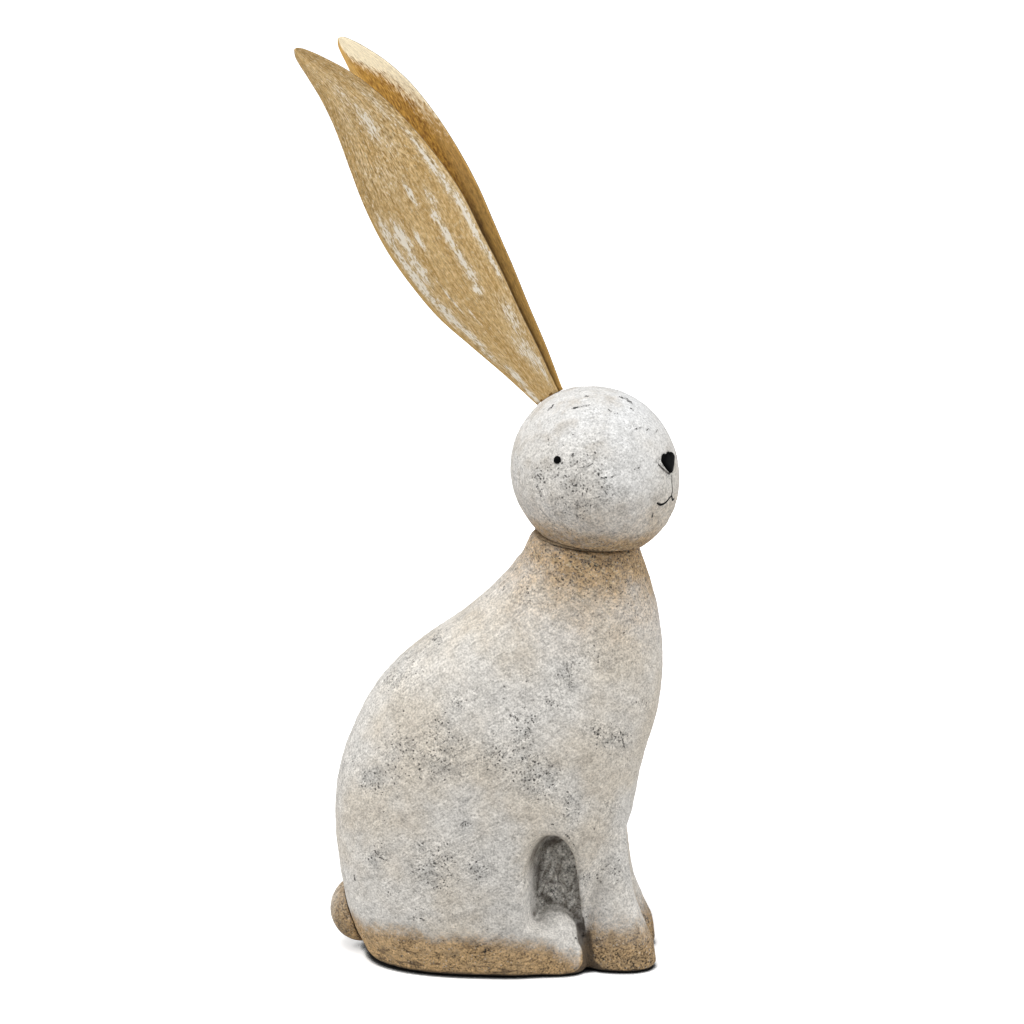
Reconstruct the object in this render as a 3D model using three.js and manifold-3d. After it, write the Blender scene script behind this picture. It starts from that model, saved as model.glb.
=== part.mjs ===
// Sitting rabbit ornament: a hollow casting with a cast ball head and tail, and two sheet-metal ears
// that plug into slots in the head. Millimetres, +Z up, +X is the way the body looks, ground at z = 0.
import * as THREE from 'three';
import { mergeVertices } from 'three/addons/utils/BufferGeometryUtils.js';
import Module from 'manifold-3d';

const wasm = await Module();
wasm.setup();

// Fits
const clearance = 0.3; // between pieces that lie on each other
const slotClearance = 0.4; // round an ear tang in its slot

// Body casting
const bodyHeight = 283; // ground to the middle of the neck seat
const bodyLength = 213; // rump to chest
const bodyWidth = 124; // across the haunches
const bodyWall = 10;
const bodySquareness = 2.6; // 2 is an ellipse, more is boxier
const groundRound = 4; // rounding of the edge that stands on the ground
const cavityRound = 26; // rounding of the top of the hollow

// Neck seat
const neckRadius = 34.3;
const neckSetback = 50.3; // middle of the seat, behind the front of the chest
const neckTilt = 6; // degrees, leaning forward
const mortarBed = 1.5;
const mortarSetback = 2; // mortar edge inside the neck edge
const dowelRadius = 6;
const dowelInBody = 34;
const dowelInHead = 36;
const dowelBottomSkin = 12; // casting left between the dowel hole and the hollow

// Front legs
const legHeight = 132;
const legSpacing = 42; // between the middles of the two legs
const legStagger = 3; // the left leg stands this far behind the right one
const legWidth = 33; // at the paw
const legLength = 48.5; // heel to toe
const legSetback = 1.5; // toe of the right leg, behind the front of the chest
const legSquareness = 2.4;

// Hind feet
const footHeight = 26;
const footWidth = 35;
const footSpacing = 62;
const footLength = 90;
const footSetback = 45.5; // toe, behind the front of the chest
const footSquareness = 2.8;
const instepLength = 38;
const instepWidth = 35;
const instepTop = 41;
const instepMiddle = 14; // middle of its rounding, above the ground
const instepSetback = 22; // middle of its rounding, behind the toe

// Hollows in the flanks, between haunch and front leg
const nicheLength = 35.5; // at the mouth
const nicheSetback = 51; // front side, behind the front of the chest
const nicheSplay = 4; // how far the front side runs out below the arch
const nicheFloor = 36; // at the haunch
const nicheFloorDrop = 16; // towards the front leg
const nicheSpring = 69; // where the arch starts
const nicheTop = 103; // at the mouth
const nicheRearDraft = 9.5; // how far the rear side closes in towards the back wall
const nicheTopDraft = 11; // how far the arch comes down towards the back wall
const nicheSpacing = 54; // between the back walls of the two hollows

// Head, a ball drawn out along the line of the ears
const headLength = 112.4;
const headWidth = 105.6;
const headTurn = 23; // degrees, towards the rabbit's right
const headForward = 6; // ahead of the neck seat
const headRise = 43.4; // above the neck seat

// Ears
const earLength = 273;
const earWidth = 69;
const earRootWidth = 18;
const earSheet = 1.2;
const earLean = 39; // degrees back from upright
const earForward = 3.4; // root, ahead of the head's long axis
const earGap = 7; // between the middles of the two sheets at the root
const earFlare = 24; // how far each leaf leans out at its tip
const earCupRadius = 150; // hollow across the leaf, on the side that looks at the other ear
const tangLength = 28;
const tangWidth = 10;

// Tail
const tailLength = 43;
const tailWidth = 48;
const tailHeight = 44;
const tailLift = 4.5; // above the ground
const tailSink = 6.7; // middle of the tail inside the rump
const tailPinRadius = 3;
const tailPinInTail = 12;
const tailPinSkin = 2; // casting left between the pin hole and the hollow

// Face
const eyeRadius = 2.5;
const eyeDome = 1.7;
const eyePegRadius = 1.5;
const eyePeg = 6;
const eyeTurn = 91.5; // degrees, from straight ahead to the side
const eyeRise = 20.7; // degrees above the middle of the head
const noseWidth = 15.5;
const noseHeight = 13;
const noseProud = 1.8;
const noseSink = 3;
const noseRise = 13; // degrees above the middle of the head

// Facets and steps along the lofts
const bodyFacets = 44;
const bodySteps = 20;
const hollowSteps = 8;
const headFacets = 40;
const limbFacets = 24;
const legSteps = 9;
const footSteps = 5;
const instepSteps = 16;
const archSteps = 14;
const tailFacets = 32;
const tailSteps = 18;
const pegFacets = 16;
const noseSteps = 6;
const noseBevelSteps = 3;
const earFacets = 8;
const earSteps = 25;
const edgeAngles = [0, 30, 60]; // degrees round the ground edge
const hollowAngles = [20, 40, 60, 80]; // degrees round the top of the hollow
const eyeAngles = [20, 45, 70]; // degrees up the dome of an eye
const earTipShares = [0.945, 0.965, 0.98, 0.992, 1]; // rows that close round the tip of an ear
const weldDistance = 1e-4;

// Places along the body, from its middle
const chestFront = bodyLength / 2;
const neckForward = chestFront - neckSetback;
const legFront = chestFront - legSetback;
const footFront = chestFront - footSetback;
const nicheFront = chestFront - nicheSetback;

const sides = [-1, 1]; // the rabbit's right and left
const radians = THREE.MathUtils.degToRad;

// A smooth curve through [place, value] pairs, read as a value at a place.
function lineThrough(points) {
  const slope = points.map((point, i) => {
    const before = points[Math.max(i - 1, 0)];
    const after = points[Math.min(i + 1, points.length - 1)];
    return (after[1] - before[1]) / (after[0] - before[0]);
  });
  return (place) => {
    let i = points.findIndex((point) => point[0] > place) - 1;
    if (i === -2) i = points.length - 2;
    if (i === -1) i = 0;
    const [start, from] = points[i];
    const [end, to] = points[i + 1];
    const span = end - start;
    const t = THREE.MathUtils.clamp((place - start) / span, 0, 1);
    const swing = (1 - t) * slope[i] * span - t * slope[i + 1] * span;
    const rise = to - from;
    return from + t * rise + t * (1 - t) * (swing + (2 * t - 1) * rise);
  };
}

// A closed skin over rings with equally many points, each ring counter-clockwise seen from the last one.
function loft(rings) {
  const count = rings[0].length;
  const points = rings.flat();
  const triangles = [];
  for (let r = 0; r + 1 < rings.length; r += 1) {
    for (let i = 0; i < count; i += 1) {
      const a = r * count + i;
      const b = r * count + ((i + 1) % count);
      triangles.push(a, b, b + count, a, b + count, a + count);
    }
  }
  const middle = (ring) => ring.reduce((sum, p) => sum.add(p), new THREE.Vector3()).divideScalar(count);
  const bottom = points.push(middle(rings[0])) - 1;
  const top = points.push(middle(rings.at(-1))) - 1;
  const last = (rings.length - 1) * count;
  for (let i = 0; i < count; i += 1) {
    const next = (i + 1) % count;
    triangles.push(bottom, next, i, top, last + i, last + next);
  }
  const geometry = new THREE.BufferGeometry().setFromPoints(points);
  return geometry.setIndex(triangles);
}

// Solids for joining and cutting, and back to a geometry
function solid(geometry, place = new THREE.Matrix4()) {
  const bare = geometry.clone().applyMatrix4(place);
  bare.deleteAttribute('normal');
  bare.deleteAttribute('uv');
  const merged = mergeVertices(bare, weldDistance);
  return new wasm.Manifold(new wasm.Mesh({
    numProp: 3,
    vertProperties: new Float32Array(merged.attributes.position.array),
    triVerts: new Uint32Array(merged.index.array),
  }));
}

function geometryOf(shape) {
  const mesh = shape.getMesh();
  const geometry = new THREE.BufferGeometry();
  geometry.setAttribute('position', new THREE.BufferAttribute(mesh.vertProperties, 3));
  geometry.setIndex(new THREE.BufferAttribute(mesh.triVerts, 1));
  geometry.computeVertexNormals();
  return geometry;
}

// A cylinder standing on the place's origin, up its Z axis
function post(radius, length, place, facets = limbFacets) {
  const geometry = new THREE.CylinderGeometry(radius, radius, length, facets);
  geometry.rotateX(Math.PI / 2).translate(0, 0, length / 2);
  return solid(geometry, place);
}

// A ring on a level or tilted plane, from an ellipse towards a rounded box as squareness rises
function ovalRing({ x, y = 0, z, halfLength, halfWidth, squareness = 2, slope = 0 }, facets) {
  const bend = (value) => Math.sign(value) * Math.abs(value) ** (2 / squareness);
  return Array.from({ length: facets }, (_, i) => {
    const angle = (2 * Math.PI * i) / facets;
    const forward = halfLength * bend(Math.cos(angle));
    return new THREE.Vector3(x + forward, y + halfWidth * bend(Math.sin(angle)), z - slope * forward);
  });
}

// How far a round ground edge draws in at a height, and heights that follow its arc
const drawnIn = (height, round) => {
  const left = Math.max(round - height, 0);
  return round - Math.sqrt(round * round - left * left);
};
const edgeHeights = edgeAngles.map((angle) => groundRound * (1 - Math.cos(radians(angle))));

function evenly(from, to, steps) {
  return Array.from({ length: steps + 1 }, (_, i) => from + ((to - from) * i) / steps);
}

// Body lines: shares of the height and of the length or width, up to the neck
const neckSlope = Math.tan(radians(neckTilt));
const upBody = ([height, out], size) => [height * bodyHeight, out * size];
const backLine = lineThrough([
  ...[[0, -0.398], [0.091, -0.452], [0.212, -0.485], [0.347, -0.5], [0.463, -0.482], [0.579, -0.422],
    [0.671, -0.346], [0.756, -0.223], [0.817, -0.108], [0.876, -0.019], [0.947, 0.062],
  ].map((point) => upBody(point, bodyLength)),
  [bodyHeight + neckRadius * neckSlope, neckForward - neckRadius],
]);
const chestLine = lineThrough([
  ...[[0, 0.309], [0.142, 0.318], [0.283, 0.383], [0.368, 0.416], [0.484, 0.443], [0.6, 0.487],
    [0.714, 0.5], [0.827, 0.486], [0.902, 0.461],
  ].map((point) => upBody(point, bodyLength)),
  [bodyHeight - neckRadius * neckSlope, neckForward + neckRadius],
]);
const sideLine = lineThrough([
  ...[[0, 0.419], [0.106, 0.476], [0.318, 0.5], [0.53, 0.468], [0.671, 0.411], [0.813, 0.347],
    [0.919, 0.302],
  ].map((point) => upBody(point, bodyWidth)),
  [bodyHeight, neckRadius],
]);
const leanStart = 0.7; // share of the height where the sections start to lean with the neck

// One section of the trunk, grown or shrunk by a wall or a clearance
function trunkRing(height, grow, facets) {
  const lean = Math.max((height / bodyHeight - leanStart) / (1 - leanStart), 0);
  const slope = neckSlope * lean;
  const reach = ((chestLine(height) - backLine(height)) / 2) * slope;
  const back = backLine(height + reach);
  const chest = chestLine(height - reach);
  return ovalRing({
    x: (back + chest) / 2,
    z: height,
    halfLength: (chest - back) / 2 + grow,
    halfWidth: sideLine(height) + grow,
    squareness: bodySquareness + (2 - bodySquareness) * lean,
    slope,
  }, facets);
}

function trunk(grow) {
  const heights = [...edgeHeights, ...evenly(groundRound, bodyHeight, bodySteps)];
  const rings = heights.map((height) => {
    const inset = drawnIn(height, groundRound);
    return trunkRing(height, grow - inset, bodyFacets);
  });
  return solid(loft(rings));
}

// The hollow inside the trunk, open at the ground
function hollow() {
  const top = bodyHeight - dowelInBody - dowelBottomSkin;
  const start = top - cavityRound;
  const dome = hollowAngles.map((angle) => start + cavityRound * Math.sin(radians(angle)));
  const rings = [...edgeHeights, ...evenly(groundRound, start, hollowSteps), ...dome].map((height) => {
    const inset = bodyWall + drawnIn(height, groundRound) + drawnIn(top - height, cavityRound);
    return trunkRing(height, -inset, limbFacets);
  });
  const mouth = rings[0].map((point) => point.clone().setZ(-bodyWall));
  return solid(loft([mouth, ...rings]));
}

// A limb that stands on the ground: front and back lines, and its half width, by height
function limb({ height, y, front, back, halfWidth, squareness, steps }) {
  const heights = [...edgeHeights, ...evenly(groundRound, height, steps)];
  const rings = heights.map((z) => {
    const inset = drawnIn(z, groundRound);
    return ovalRing({
      x: (front(z) + back(z)) / 2,
      y,
      z,
      halfLength: (front(z) - back(z)) / 2 - inset,
      halfWidth: halfWidth(z) - inset,
      squareness,
    }, limbFacets);
  });
  return solid(loft(rings));
}

// A line up a limb, from shares of its height and of a size
function limbLine(points, height, size, from = 0) {
  return lineThrough(points.map(([up, out]) => [up * height, from + out * size]));
}

function frontLeg(side) {
  const heel = legFront - legLength - (side > 0 ? legStagger : 0);
  const shin = [[0, 1], [0.1, 1], [0.24, 0.84], [0.34, 0.725], [0.46, 0.66], [0.7, 0.59], [1, 0.525]];
  const calf = [[0, 0], [0.2, 0.04], [0.36, 0.09], [0.52, 0.07], [0.7, -0.035], [1, -0.07]];
  const flank = [[0, 0.5], [0.12, 0.5], [0.3, 0.46], [0.6, 0.45], [1, 0.36]];
  return limb({
    height: legHeight,
    y: (side * legSpacing) / 2,
    front: limbLine(shin, legHeight, legLength, heel),
    back: limbLine(calf, legHeight, legLength, heel),
    halfWidth: limbLine(flank, legHeight, legWidth),
    squareness: legSquareness,
    steps: legSteps,
  });
}

function hindFoot(side) {
  const y = (side * footSpacing) / 2;
  const toe = [[0, 0], [0.5, 0], [0.8, -0.04], [1, -0.15]];
  const heel = [[0, -1], [1, -1]];
  const flank = [[0, 0.5], [0.5, 0.5], [0.8, 0.45], [1, 0.33]];
  const sole = limb({
    height: footHeight,
    y,
    front: limbLine(toe, footHeight, footLength, footFront),
    back: limbLine(heel, footHeight, footLength, footFront),
    halfWidth: limbLine(flank, footHeight, footWidth),
    squareness: footSquareness,
    steps: footSteps,
  });
  const instep = new THREE.SphereGeometry(1, limbFacets, instepSteps);
  instep.rotateX(Math.PI / 2).scale(instepLength / 2, instepWidth / 2, instepTop - instepMiddle);
  instep.translate(footFront - instepSetback, y, instepMiddle);
  const ground = new THREE.BoxGeometry(footLength * 2, footLength * 2, footLength);
  ground.translate(footFront, y, -footLength / 2);
  return sole.add(solid(instep).subtract(solid(ground)));
}

// The arched hollow in one flank, closing in towards its back wall. It is grown by a wall when the
// inside of the casting follows it.
function niche(side, grow) {
  const front = nicheFront + grow;
  const ring = (place, draft) => {
    const rear = nicheFront - nicheLength - grow + draft * nicheRearDraft;
    const rise = nicheTop + grow - draft * nicheTopDraft - nicheSpring;
    const middle = (front + rear) / 2;
    const half = (front - rear) / 2;
    const arch = evenly(0, Math.PI, archSteps).map((angle) => {
      return [middle + half * Math.cos(angle), nicheSpring + rise * Math.sin(angle)];
    });
    const toe = [front + nicheSplay, nicheFloor - nicheFloorDrop - grow];
    const outline = [toe, ...arch, [rear, nicheFloor - grow]];
    const points = outline.map(([x, z]) => new THREE.Vector3(x, side * place, z));
    return side < 0 ? points : points.reverse();
  };
  const wall = nicheSpacing / 2 - grow;
  return solid(loft([ring(wall, 1), ring(bodyWidth / 2, 0), ring(bodyWidth, 0)]));
}

// Neck seat frame: origin in the middle of the seat, Z square to it
const seatPlace = new THREE.Matrix4().makeRotationY(radians(neckTilt));
seatPlace.setPosition(neckForward, 0, bodyHeight);
const shifted = (place, along) => place.clone().multiply(new THREE.Matrix4().makeTranslation(0, 0, along));
const seatShift = (along) => shifted(seatPlace, along);
const headSeat = mortarBed + 2 * clearance; // the head's flat, above the body's

// Tail frame: origin in the middle of the tail, Z pointing out of the rump
const tailZ = tailLift + tailHeight / 2;
const tailX = backLine(tailZ) + tailSink;
const tailPlace = (x) => new THREE.Matrix4().makeRotationY(-Math.PI / 2).setPosition(x, 0, tailZ);
const tailPinInBody = bodyWall - tailPinSkin;
const tailPinEnd = backLine(tailZ) + tailPinInBody;
const tailPinLength = tailPinInBody + tailPinInTail;

function bodyShell() {
  let shape = trunk(0);
  let core = hollow();
  sides.forEach((side) => {
    shape = shape.subtract(niche(side, 0));
    core = core.subtract(niche(side, bodyWall));
  });
  sides.forEach((side) => {
    shape = shape.add(frontLeg(side)).add(hindFoot(side));
  });
  const dowelHole = dowelInBody + clearance;
  const pinHole = tailPinLength + clearance;
  return shape
    .subtract(core)
    .subtract(post(dowelRadius + clearance, 2 * dowelHole, seatShift(-dowelHole)))
    .subtract(post(tailPinRadius + clearance, pinHole, tailPlace(tailPinEnd + clearance)));
}

function tail() {
  const ball = new THREE.SphereGeometry(0.5, tailFacets, tailSteps);
  ball.scale(tailLength, tailWidth, tailHeight).translate(tailX, 0, tailZ);
  const holeLength = tailPinLength + 2 * clearance;
  const hole = post(tailPinRadius + clearance, holeLength, tailPlace(tailPinEnd + clearance));
  return solid(ball).subtract(trunk(clearance)).subtract(hole);
}

// Head frame: origin in the middle of the ball, +X the way the face looks
const headPlace = new THREE.Matrix4().makeRotationZ(radians(-headTurn));
headPlace.setPosition(neckForward + headForward, 0, bodyHeight + headRise);
const intoHead = headPlace.clone().invert();

// Ear frame: same origin, Z along the ears and the long axis of the head, +X towards the front edge
const earPlace = new THREE.Matrix4().makeRotationY(radians(-earLean));

// The ball of the head along the ear frame's Z, grown by a clearance
function headBall(grow, place) {
  const arc = evenly(-Math.PI / 2, Math.PI / 2, headFacets / 2);
  const profile = arc.map((angle) => {
    const out = (headWidth / 2 + grow) * Math.cos(angle);
    return new THREE.Vector2(out, (headLength / 2 + grow) * Math.sin(angle));
  });
  return solid(new THREE.LatheGeometry(profile, headFacets).rotateX(Math.PI / 2), place);
}

// A frame on the skin of the head, Z pointing out, X to the side and Y up the face
function onFace(turn, rise) {
  const out = new THREE.Vector3(1, 0, 0);
  out.applyAxisAngle(new THREE.Vector3(0, 1, 0), radians(-rise));
  out.applyAxisAngle(new THREE.Vector3(0, 0, 1), radians(-turn));
  const axis = new THREE.Vector3(0, 0, 1).applyMatrix4(earPlace);
  const along = out.dot(axis) / headLength;
  const across = out.clone().cross(axis).length() / headWidth;
  const reach = 0.5 / Math.hypot(along, across);
  const side = new THREE.Vector3(0, 0, 1).cross(out).normalize();
  const up = out.clone().cross(side);
  return new THREE.Matrix4().makeBasis(side, up, out).setPosition(out.multiplyScalar(reach));
}
const eyePlace = (side) => onFace(-side * eyeTurn, eyeRise);
const nosePlace = onFace(0, noseRise);

// The nose seen from the front, two lobes over a point, in shares of its half width and half height
function noseShape(grow) {
  const half = noseWidth / 2 + grow;
  const up = noseHeight / 2 + grow;
  const shape = new THREE.Shape();
  shape.moveTo(0, -up);
  shape.bezierCurveTo(half * 0.3, -up * 0.92, half * 0.95, up * 0.05, half, up * 0.45);
  shape.bezierCurveTo(half * 1.02, up * 0.95, half * 0.35, up * 1.13, 0, up * 0.88);
  shape.bezierCurveTo(-half * 0.35, up * 1.13, -half * 1.02, up * 0.95, -half, up * 0.45);
  shape.bezierCurveTo(-half * 0.95, up * 0.05, -half * 0.3, -up * 0.92, 0, -up);
  return shape;
}

function noseSocket() {
  const depth = 2 * noseSink;
  const cut = { depth, bevelEnabled: false, curveSegments: noseSteps };
  const geometry = new THREE.ExtrudeGeometry(noseShape(clearance), cut);
  return solid(geometry, shifted(nosePlace, -noseSink - clearance));
}

function nose() {
  const bevel = noseProud / 2;
  const geometry = new THREE.ExtrudeGeometry(noseShape(0), {
    depth: noseSink + noseProud - 2 * bevel,
    curveSegments: noseSteps,
    bevelThickness: bevel,
    bevelSize: bevel,
    bevelOffset: -bevel,
    bevelSegments: noseBevelSteps,
  });
  return solid(geometry.translate(0, 0, bevel - noseSink), nosePlace);
}

function eye(side) {
  const profile = [new THREE.Vector2(0, -eyePeg), new THREE.Vector2(eyePegRadius, -eyePeg)];
  profile.push(new THREE.Vector2(eyePegRadius, clearance), new THREE.Vector2(eyeRadius, clearance));
  eyeAngles.forEach((angle) => {
    const out = eyeRadius * Math.cos(radians(angle));
    profile.push(new THREE.Vector2(out, clearance + eyeDome * Math.sin(radians(angle))));
  });
  profile.push(new THREE.Vector2(0, clearance + eyeDome));
  return solid(new THREE.LatheGeometry(profile, pegFacets).rotateX(Math.PI / 2), eyePlace(side));
}

const tangSlot = tangLength + clearance;
function earSlot(side) {
  const width = tangWidth + 2 * slotClearance;
  const thickness = earSheet + 2 * slotClearance;
  const slot = new THREE.BoxGeometry(width, thickness, 2 * tangSlot);
  slot.translate(earForward, (side * earGap) / 2, headLength / 2);
  return solid(slot, earPlace);
}

function head() {
  const belowSeat = new THREE.BoxGeometry(headLength * 2, headLength * 2, headLength);
  belowSeat.translate(0, 0, headSeat - headLength / 2);
  const seat = intoHead.clone().multiply(seatPlace);
  const dowelHole = post(dowelRadius + clearance, dowelInHead + clearance, shifted(seat, headSeat));
  let shape = headBall(0, earPlace).subtract(solid(belowSeat, seat));
  shape = shape.subtract(dowelHole).subtract(noseSocket());
  sides.forEach((side) => {
    const pegPlace = shifted(eyePlace(side), -eyePeg - clearance);
    const pegHole = post(eyePegRadius + clearance, 2 * eyePeg, pegPlace, pegFacets);
    shape = shape.subtract(earSlot(side)).subtract(pegHole);
  });
  return shape;
}

// One ear, in the ear frame: a cupped leaf that leans outwards, cut to the head, on a flat tang
function ear(side) {
  const root = earRootWidth / 2;
  const up = ([share, out]) => [share * earLength, out * earWidth];
  const back = lineThrough([[0, -root], ...[[0.1, -0.224], [0.2, -0.335], [0.3, -0.444], [0.4, -0.483],
    [0.5, -0.475], [0.6, -0.402], [0.7, -0.268], [0.8, -0.12], [0.87, -0.053], [0.937, -0.02],
    [0.97, -0.008], [0.987, 0.006], [1, 0.04]].map(up)]);
  const front = lineThrough([[0, root], ...[[0.1, 0.223], [0.2, 0.298], [0.3, 0.383], [0.4, 0.455],
    [0.5, 0.524], [0.6, 0.547], [0.7, 0.527], [0.8, 0.465], [0.88, 0.36], [0.948, 0.222],
    [0.975, 0.155], [0.991, 0.108], [1, 0.066]].map(up)]);
  const across = evenly(-1, 1, earFacets);
  const leafRing = (s) => {
    const halfWidth = (front(s) - back(s)) / 2;
    const middle = earForward + (front(s) + back(s)) / 2;
    const spine = earGap / 2 + (earFlare * Math.max(s, 0)) / earLength;
    const point = (t, skin) => {
      const y = spine - (halfWidth * t) ** 2 / (2 * earCupRadius) + skin;
      return new THREE.Vector3(middle + halfWidth * t, side * y, headLength / 2 + s);
    };
    const ring = [
      ...across.map((t) => point(t, -earSheet / 2)),
      ...across.toReversed().map((t) => point(t, earSheet / 2)),
    ];
    return side > 0 ? ring : ring.reverse();
  };
  const tipRows = earTipShares.map((share) => share * earLength);
  const rows = [...evenly(-root, tipRows[0], earSteps), ...tipRows.slice(1)];
  const leaf = solid(loft(rows.map(leafRing)));
  const tang = new THREE.BoxGeometry(tangWidth, earSheet, tangLength + root);
  tang.translate(earForward, (side * earGap) / 2, headLength / 2 + (root - tangLength) / 2);
  return leaf.subtract(headBall(clearance)).add(solid(tang));
}

function neckMortar() {
  const disc = post(neckRadius - mortarSetback, mortarBed, seatShift(clearance), headFacets);
  return disc.subtract(post(dowelRadius + clearance, 3 * mortarBed, seatShift(-mortarBed)));
}

const dowelLength = dowelInBody + headSeat + dowelInHead;
const neckDowel = () => post(dowelRadius, dowelLength, seatShift(-dowelInBody));
const tailPin = () => post(tailPinRadius, tailPinLength, tailPlace(tailPinEnd), pegFacets);

// Finishes
const limewash = { color: 0xd7d1cb, roughness: 0.95, metalness: 0 };
const stained = { color: 0xb09878, roughness: 0.95, metalness: 0 };
const goldPaint = { color: 0xb8965c, roughness: 0.6, metalness: 0.4 };
const black = { color: 0x101010, roughness: 0.35, metalness: 0 };
const rod = { color: 0x8a8d90, roughness: 0.4, metalness: 1 };
const mortar = { color: 0x8d8274, roughness: 1, metalness: 0 };

function piece(name, shape, finish) {
  const mesh = new THREE.Mesh(geometryOf(shape), new THREE.MeshStandardMaterial(finish));
  mesh.name = name;
  return mesh;
}

const ears = new THREE.Group();
ears.rotation.y = radians(-earLean);
ears.add(piece('right_ear', ear(-1), goldPaint), piece('left_ear', ear(1), goldPaint));

const headGroup = new THREE.Group();
headGroup.position.setFromMatrixPosition(headPlace);
headGroup.rotation.z = radians(-headTurn);
headGroup.add(
  piece('head', head(), limewash),
  piece('right_eye', eye(-1), black),
  piece('left_eye', eye(1), black),
  piece('nose', nose(), black),
  ears,
);

const figure = new THREE.Group();
figure.add(
  piece('body_shell', bodyShell(), limewash),
  piece('tail', tail(), stained),
  piece('tail_pin', tailPin(), rod),
  piece('neck_mortar', neckMortar(), mortar),
  piece('neck_dowel', neckDowel(), rod),
  headGroup,
);

// The part's origin is on the ground, under the middle of everything it reaches.
const reach = new THREE.Box3().setFromObject(figure, true).getCenter(new THREE.Vector3());
figure.position.set(-reach.x, -reach.y, 0);

const rabbit = new THREE.Group();
rabbit.add(figure);

export default rabbit;
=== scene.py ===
"""Looks of the rabbit figurine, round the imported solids. Metres, in the solids' own frame."""

import math
from functools import reduce
from types import SimpleNamespace

import bmesh
import bpy
import numpy as np
from mathutils import Matrix, Vector, noise
from mathutils.bvhtree import BVHTree


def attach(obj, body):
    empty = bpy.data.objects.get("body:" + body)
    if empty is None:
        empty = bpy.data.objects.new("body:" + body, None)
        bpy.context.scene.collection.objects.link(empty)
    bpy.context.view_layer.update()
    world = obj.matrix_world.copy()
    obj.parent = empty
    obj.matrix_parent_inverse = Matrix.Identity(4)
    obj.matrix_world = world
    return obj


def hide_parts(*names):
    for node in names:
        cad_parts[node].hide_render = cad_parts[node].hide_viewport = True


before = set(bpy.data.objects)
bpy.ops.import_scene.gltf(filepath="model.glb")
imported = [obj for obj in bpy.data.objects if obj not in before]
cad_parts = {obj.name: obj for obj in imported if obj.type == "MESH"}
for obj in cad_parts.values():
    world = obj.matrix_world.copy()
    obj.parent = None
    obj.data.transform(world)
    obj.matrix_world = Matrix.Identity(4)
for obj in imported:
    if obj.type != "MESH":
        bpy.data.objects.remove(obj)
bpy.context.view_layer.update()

MM = 0.001

# Places that the solids have, in millimetres and degrees
HEAD_PLACE = (71.667, -21.464, 326.4)
HEAD_TURN = 23
HEAD_LENGTH = 112.4
HEAD_WIDTH = 105.6
BODY_PLACE = (9.467, -21.464, 0)
SEAT_PLACE = (65.667, -21.464, 283)
SEAT_TILT = 6
SEAT_RISE = 2.1
NICHE_FRONT = 55.5
NICHE_REAR = 20
NICHE_TOP = 103
DOWEL_RADIUS = 6.3
DOWEL_DEPTH = 36.3
EAR_LENGTH = 273
EAR_WIDTH = 69
EAR_ROOT = 9
EAR_SHEET = 1.2
EAR_LEAN = 39
EAR_FORWARD = 3.4
EAR_GAP = 7
EAR_FLARE = 24
EAR_CUP = 150
TANG_LENGTH = 28
TANG_WIDTH = 10
SLOT_GAP = 0.4
GAP = 0.3
EYE_TURN = 91.5
EYE_RISE = 20.7
EYE_RADIUS = 2.5
EYE_DOME = 1.7
EYE_PEG = 6
EYE_PEG_RADIUS = 1.5
NOSE_RISE = 13
NOSE_WIDTH = 15.5
NOSE_HEIGHT = 13
NOSE_PROUD = 1.8
NOSE_SINK = 3

# How fine the meshes are: voxels in metres, and counts
BODY_VOXEL = 0.0013
TAIL_VOXEL = 0.0009
HEAD_STEPS = 84
ROUND_STEPS = 40
NOSE_STEPS = 14
SOCKET_STEPS = 8
EAR_COLUMNS = 37
EAR_ROWS = 150
BED_STEPS = 160
LINE_SIDES = 8
LINE_STEPS = 8

# Cutting tools and the ground, larger than what they meet, in millimetres
OVERCUT = 20
CUT_SIZE = 200
GROUND_SIZE = 4000
GROUND_DEPTH = 10

RIGHT, LEFT = -1, 1

# The photo's view: metres, lens and sensor in millimetres, frame in pixels
CAMERA_PLACE = Vector((0.237446, -2.523311, 0.97157))
CAMERA_TARGET = Vector((0.018567, -0.021464, 0.29864))
CAMERA_LENS = 142.82
CAMERA_SENSOR = 36
PHOTO_SIZE = 1024


def turned(degrees, axis):
    return Matrix.Rotation(math.radians(degrees), 4, axis)


BODY = Matrix.Translation(Vector(BODY_PLACE) * MM) @ Matrix.Scale(MM, 4)
HEAD = Matrix.Translation(Vector(HEAD_PLACE) * MM) @ turned(-HEAD_TURN, "Z") @ Matrix.Scale(MM, 4)
EAR = HEAD @ turned(-EAR_LEAN, "Y")
SEAT = Matrix.Translation(Vector(SEAT_PLACE) * MM) @ turned(SEAT_TILT, "Y") @ Matrix.Scale(MM, 4)


# Mesh tools


def moved(points, place):
    """Points as an array, put through a matrix."""
    m = np.array(place)
    return np.asarray(points, float) @ m[:3, :3].T + m[:3, 3]


def mesh_of(name, points, faces, smooth=True):
    mesh = bpy.data.meshes.new(name)
    mesh.from_pydata([tuple(p) for p in points], [], [tuple(f) for f in faces])
    mesh.polygons.foreach_set("use_smooth", [smooth] * len(mesh.polygons))
    mesh.update()
    return mesh


def values_of(items, name, width, kind=float):
    values = np.empty(len(items) * width, kind)
    items.foreach_get(name, values)
    return values.reshape(-1, width)


def coordinates(mesh):
    return values_of(mesh.vertices, "co", 3)


def normals(mesh):
    return values_of(mesh.vertices, "normal", 3)


def links(mesh):
    return values_of(mesh.edges, "vertices", 2, int)


def put_back(mesh, co):
    mesh.vertices.foreach_set("co", co.ravel())
    mesh.update()


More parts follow.
